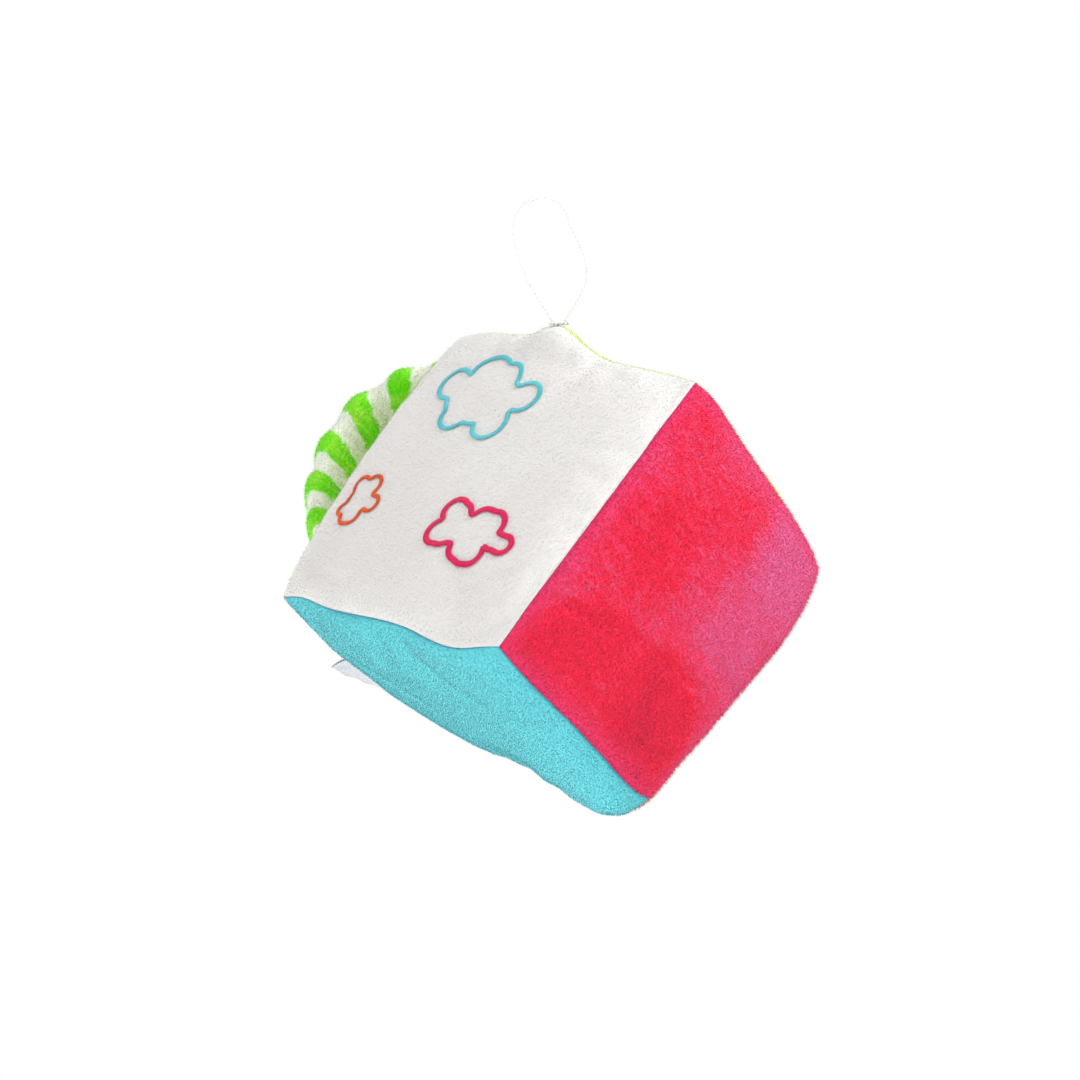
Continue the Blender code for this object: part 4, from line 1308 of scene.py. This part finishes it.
def handleCurve(share):
    place = handle["place"] * 2
    start = skin((-1, place, 2 * handle["foot"] - 1))
    end = skin((-1, place, 1)) - Vector((0, 0, handle["endThickness"] / 2 + handle["endSeat"]))
    first = start + Vector((-handle["lowReach"], 0, handle["lowRise"]))
    second = end + Vector((-handle["highReach"], 0, handle["highRise"]))
    rest = 1 - share
    point = start * rest ** 3 + first * 3 * rest ** 2 * share
    point += second * 3 * rest * share ** 2 + end * share ** 3
    point.y = (start.y + end.y) / 2
    along = (first - start) * rest ** 2 + (second - first) * 2 * rest * share + (end - second) * share ** 2
    along.y = 0
    return point, along.normalized()


def sideDepth(y, z):
    # X of the left side's skin at that depth and height
    across, along = y / halfSizes[1], z / halfSizes[2]
    for _ in range(handle["seatRounds"]):
        point = skin((-1, across, along))
        across += (y - point.y) / halfSizes[1]
        along = min(along + (z - point.z) / halfSizes[2], 1)
    return point.x


def handleSection(share):
    point, along = handleCurve(share)
    across = Vector((0, 1, 0))
    thick = along.cross(across)
    fromEnd = min(share, 1 - share) / handle["taper"]
    swell = math.sin(min(fromEnd, 1) * math.pi / 2) ** handle["taperPower"]
    thickness = handle["endThickness"] + (handle["thickness"] - handle["endThickness"]) * swell
    halfWidth = handle["width"] / 2 - handle["inset"]
    halfThickness = thickness / 2 - handle["inset"]
    ring = []
    for step in range(handle["sides"]):
        angle = 2 * math.pi * step / handle["sides"]
        side = math.copysign(abs(math.cos(angle)) ** handle["edgePower"], math.cos(angle))
        ring.append((side * halfWidth, math.sin(angle) * halfThickness, angle))
    return point, across, thick, ring, swell


def makeHandle():
    build = bmesh.new()
    rings, stripe = [], []
    travelled, before = 0.0, None
    for station in range(handle["stations"] + 1):
        share = station / handle["stations"]
        point, across, thick, section, swell = handleSection(share)
        travelled += (point - before).length if before else 0.0
        before = point
        ring = []
        for side, rise, angle in section:
            # the inner face folds where the strap bends, and the pile side stays plump
            inner = max(0.0, -math.sin(angle) * (1 if thick.x < 0 else -1))
            fold = math.sin(2 * math.pi * travelled / handle["foldSpacing"])
            fold *= handle["foldDepth"] * inner * swell
            place = point + across * side + thick * rise
            place -= thick * math.copysign(abs(fold), rise)
            # the strap swells at each green stripe
            phase = (travelled - stripes["start"] + side * stripes["slant"]) / stripes["width"]
            outward = (across * side + thick * rise).normalized()
            place += outward * handle["bulge"] * swell * math.sin(phase * math.pi) ** 2
            place += outward * handle["lumps"] * waver(place, handle["lumpScale"]) * swell
            # both ends follow the swell of the panel that they are sewn to
            sewn = 1 - min(share, 1 - share) / handle["sewnReach"]
            if sewn > 0:
                root = handleCurve(round(share))[0]
                place.x += (sideDepth(place.y, place.z) - handle["seatGap"] - root.x) * sewn ** 2
            ring.append(build.verts.new(toWorld @ place))
            stripe.append(phase)
        rings.append(ring)
    joinRings(build, rings)
    bmesh.ops.recalc_face_normals(build, faces=build.faces)
    surface = meshFrom("handleSurface", build)
    store(surface, "stripe", stripe)
    cloth = meshObject("handleCover", surface.copy(), stripedShade("handleBacking", False))
    thicken(cloth, handle["wall"])
    carry(cloth, "block", "green_striped_plush", "handle_cover")
    fibres = stripedShade("handleFibres", True)
    growPile("handlePile", surface, handle["pile"], fibres, "green_striped_plush")


makeHandle()
bpy.data.objects.remove(bareSpots, do_unlink=True)


# Inside: the stuffing and the rattle

filling = {"voxel": 0.0026, "lump": 0.0011, "lumpScale": 150.0, "drawIn": 0.0004}


def makeFilling(node, name, material):
    # loose fibre that keeps inside its own solid's room
    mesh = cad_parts[node].data.copy()
    build = bmesh.new()
    build.from_mesh(mesh)
    bpy.data.meshes.remove(mesh)
    bmesh.ops.remove_doubles(build, verts=build.verts, dist=tiny)
    piece = meshObject(name, meshFrom(name, build), material)
    setAll(piece.modifiers.new("even", "REMESH"), mode="VOXEL", voxel_size=filling["voxel"])
    settle(piece)
    points = readPoints(piece.data)
    normals = readNormals(piece.data)
    for index, point in enumerate(points):
        lump = (1 + waver(point, filling["lumpScale"])) / 2
        points[index] = point - normals[index] * (filling["drawIn"] + filling["lump"] * lump)
    writePoints(piece.data, points)
    finishMesh(piece.data, material)
    carry(piece, "block", "filling", node)
    print(name, "filled:", len(piece.data.polygons), "faces")


fillingMaterial = plainShade("polyesterFilling")
makeFilling("front_stuffing", "frontStuffing", fillingMaterial)
makeFilling("back_stuffing", "backStuffing", fillingMaterial)
makeFilling("handle_wadding", "handleWadding", fillingMaterial)

plasticMaterial = plainShade("rattlePlastic")
for shell in ("rattle_lower_shell", "rattle_upper_shell"):
    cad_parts[shell].material_slots[0].material = plasticMaterial
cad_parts["rattle_ball"].material_slots[0].material = plainShade("ballSteel")
print("rattle finished")


# Floor, background and light

studio = {
    "floorDrop": 0.80, "floorSize": 12.0, "floorTone": colour(238, 238, 238),
    "floorFade": (0.1, 0.9, 0.93, 1.0), "white": (1.0, 1.0, 1.0, 1.0), "fill": 0.77, "lampSize": 0.7,
}
lamps = {   # place from the block's middle, and watts
    "keyLamp": ((-0.1, -0.45, 1.3), 2.2), "sideLamp": ((0.95, 0.42, 0.8), 13.0),
    "lowLamp": ((0.05, -0.65, -0.75), 6.2), "leftLamp": ((-1.0, 0.15, 0.15), 5.5),
}


def makeFloor():
    build = bmesh.new()
    bmesh.ops.create_grid(build, x_segments=1, y_segments=1, size=studio["floorSize"] / 2)
    for vertex in build.verts:
        vertex.co.z = cadLow.z - studio["floorDrop"]
    shade = Shade("paleFloor")
    shade.finish(studio["floorTone"], {"Roughness": 0.9})
    away = shade.vector("LENGTH", shade.place())
    share = shade.calc("MULTIPLY", shade.seen(), shade.spread(away, *studio["floorFade"]))
    glow = shade.add("ShaderNodeEmission", {"Color": studio["white"], "Strength": 1.0})
    mixed = shade.add("ShaderNodeMixShader", {0: share, 1: shade.shader, 2: glow})
    shade.give(shade.tree.nodes["Material Output"].inputs["Surface"], mixed)
    meshObject("floor", meshFrom("floor", build), shade.material)


def makeWorld():
    world = bpy.data.worlds.new("studio")
    bpy.context.scene.world = world
    world.use_nodes = True
    world.node_tree.nodes.clear()
    nodes = Nodes(world.node_tree)
    strength = nodes.spread(nodes.seen(), 0.0, 1.0, studio["fill"], 1.0)
    back = nodes.add("ShaderNodeBackground", {"Color": studio["white"], "Strength": strength})
    nodes.add("ShaderNodeOutputWorld", {"Surface": back})


makeFloor()
makeWorld()
for lampName, (lampPlace, lampWatts) in lamps.items():
    light = setAll(bpy.data.lights.new(lampName, "AREA"), size=studio["lampSize"], energy=lampWatts)
    standAt(addObject(lampName, light), Vector(lampPlace))
bpy.context.scene.view_settings.view_transform = "Standard"
print("studio lit")

bpy.context.view_layer.update()
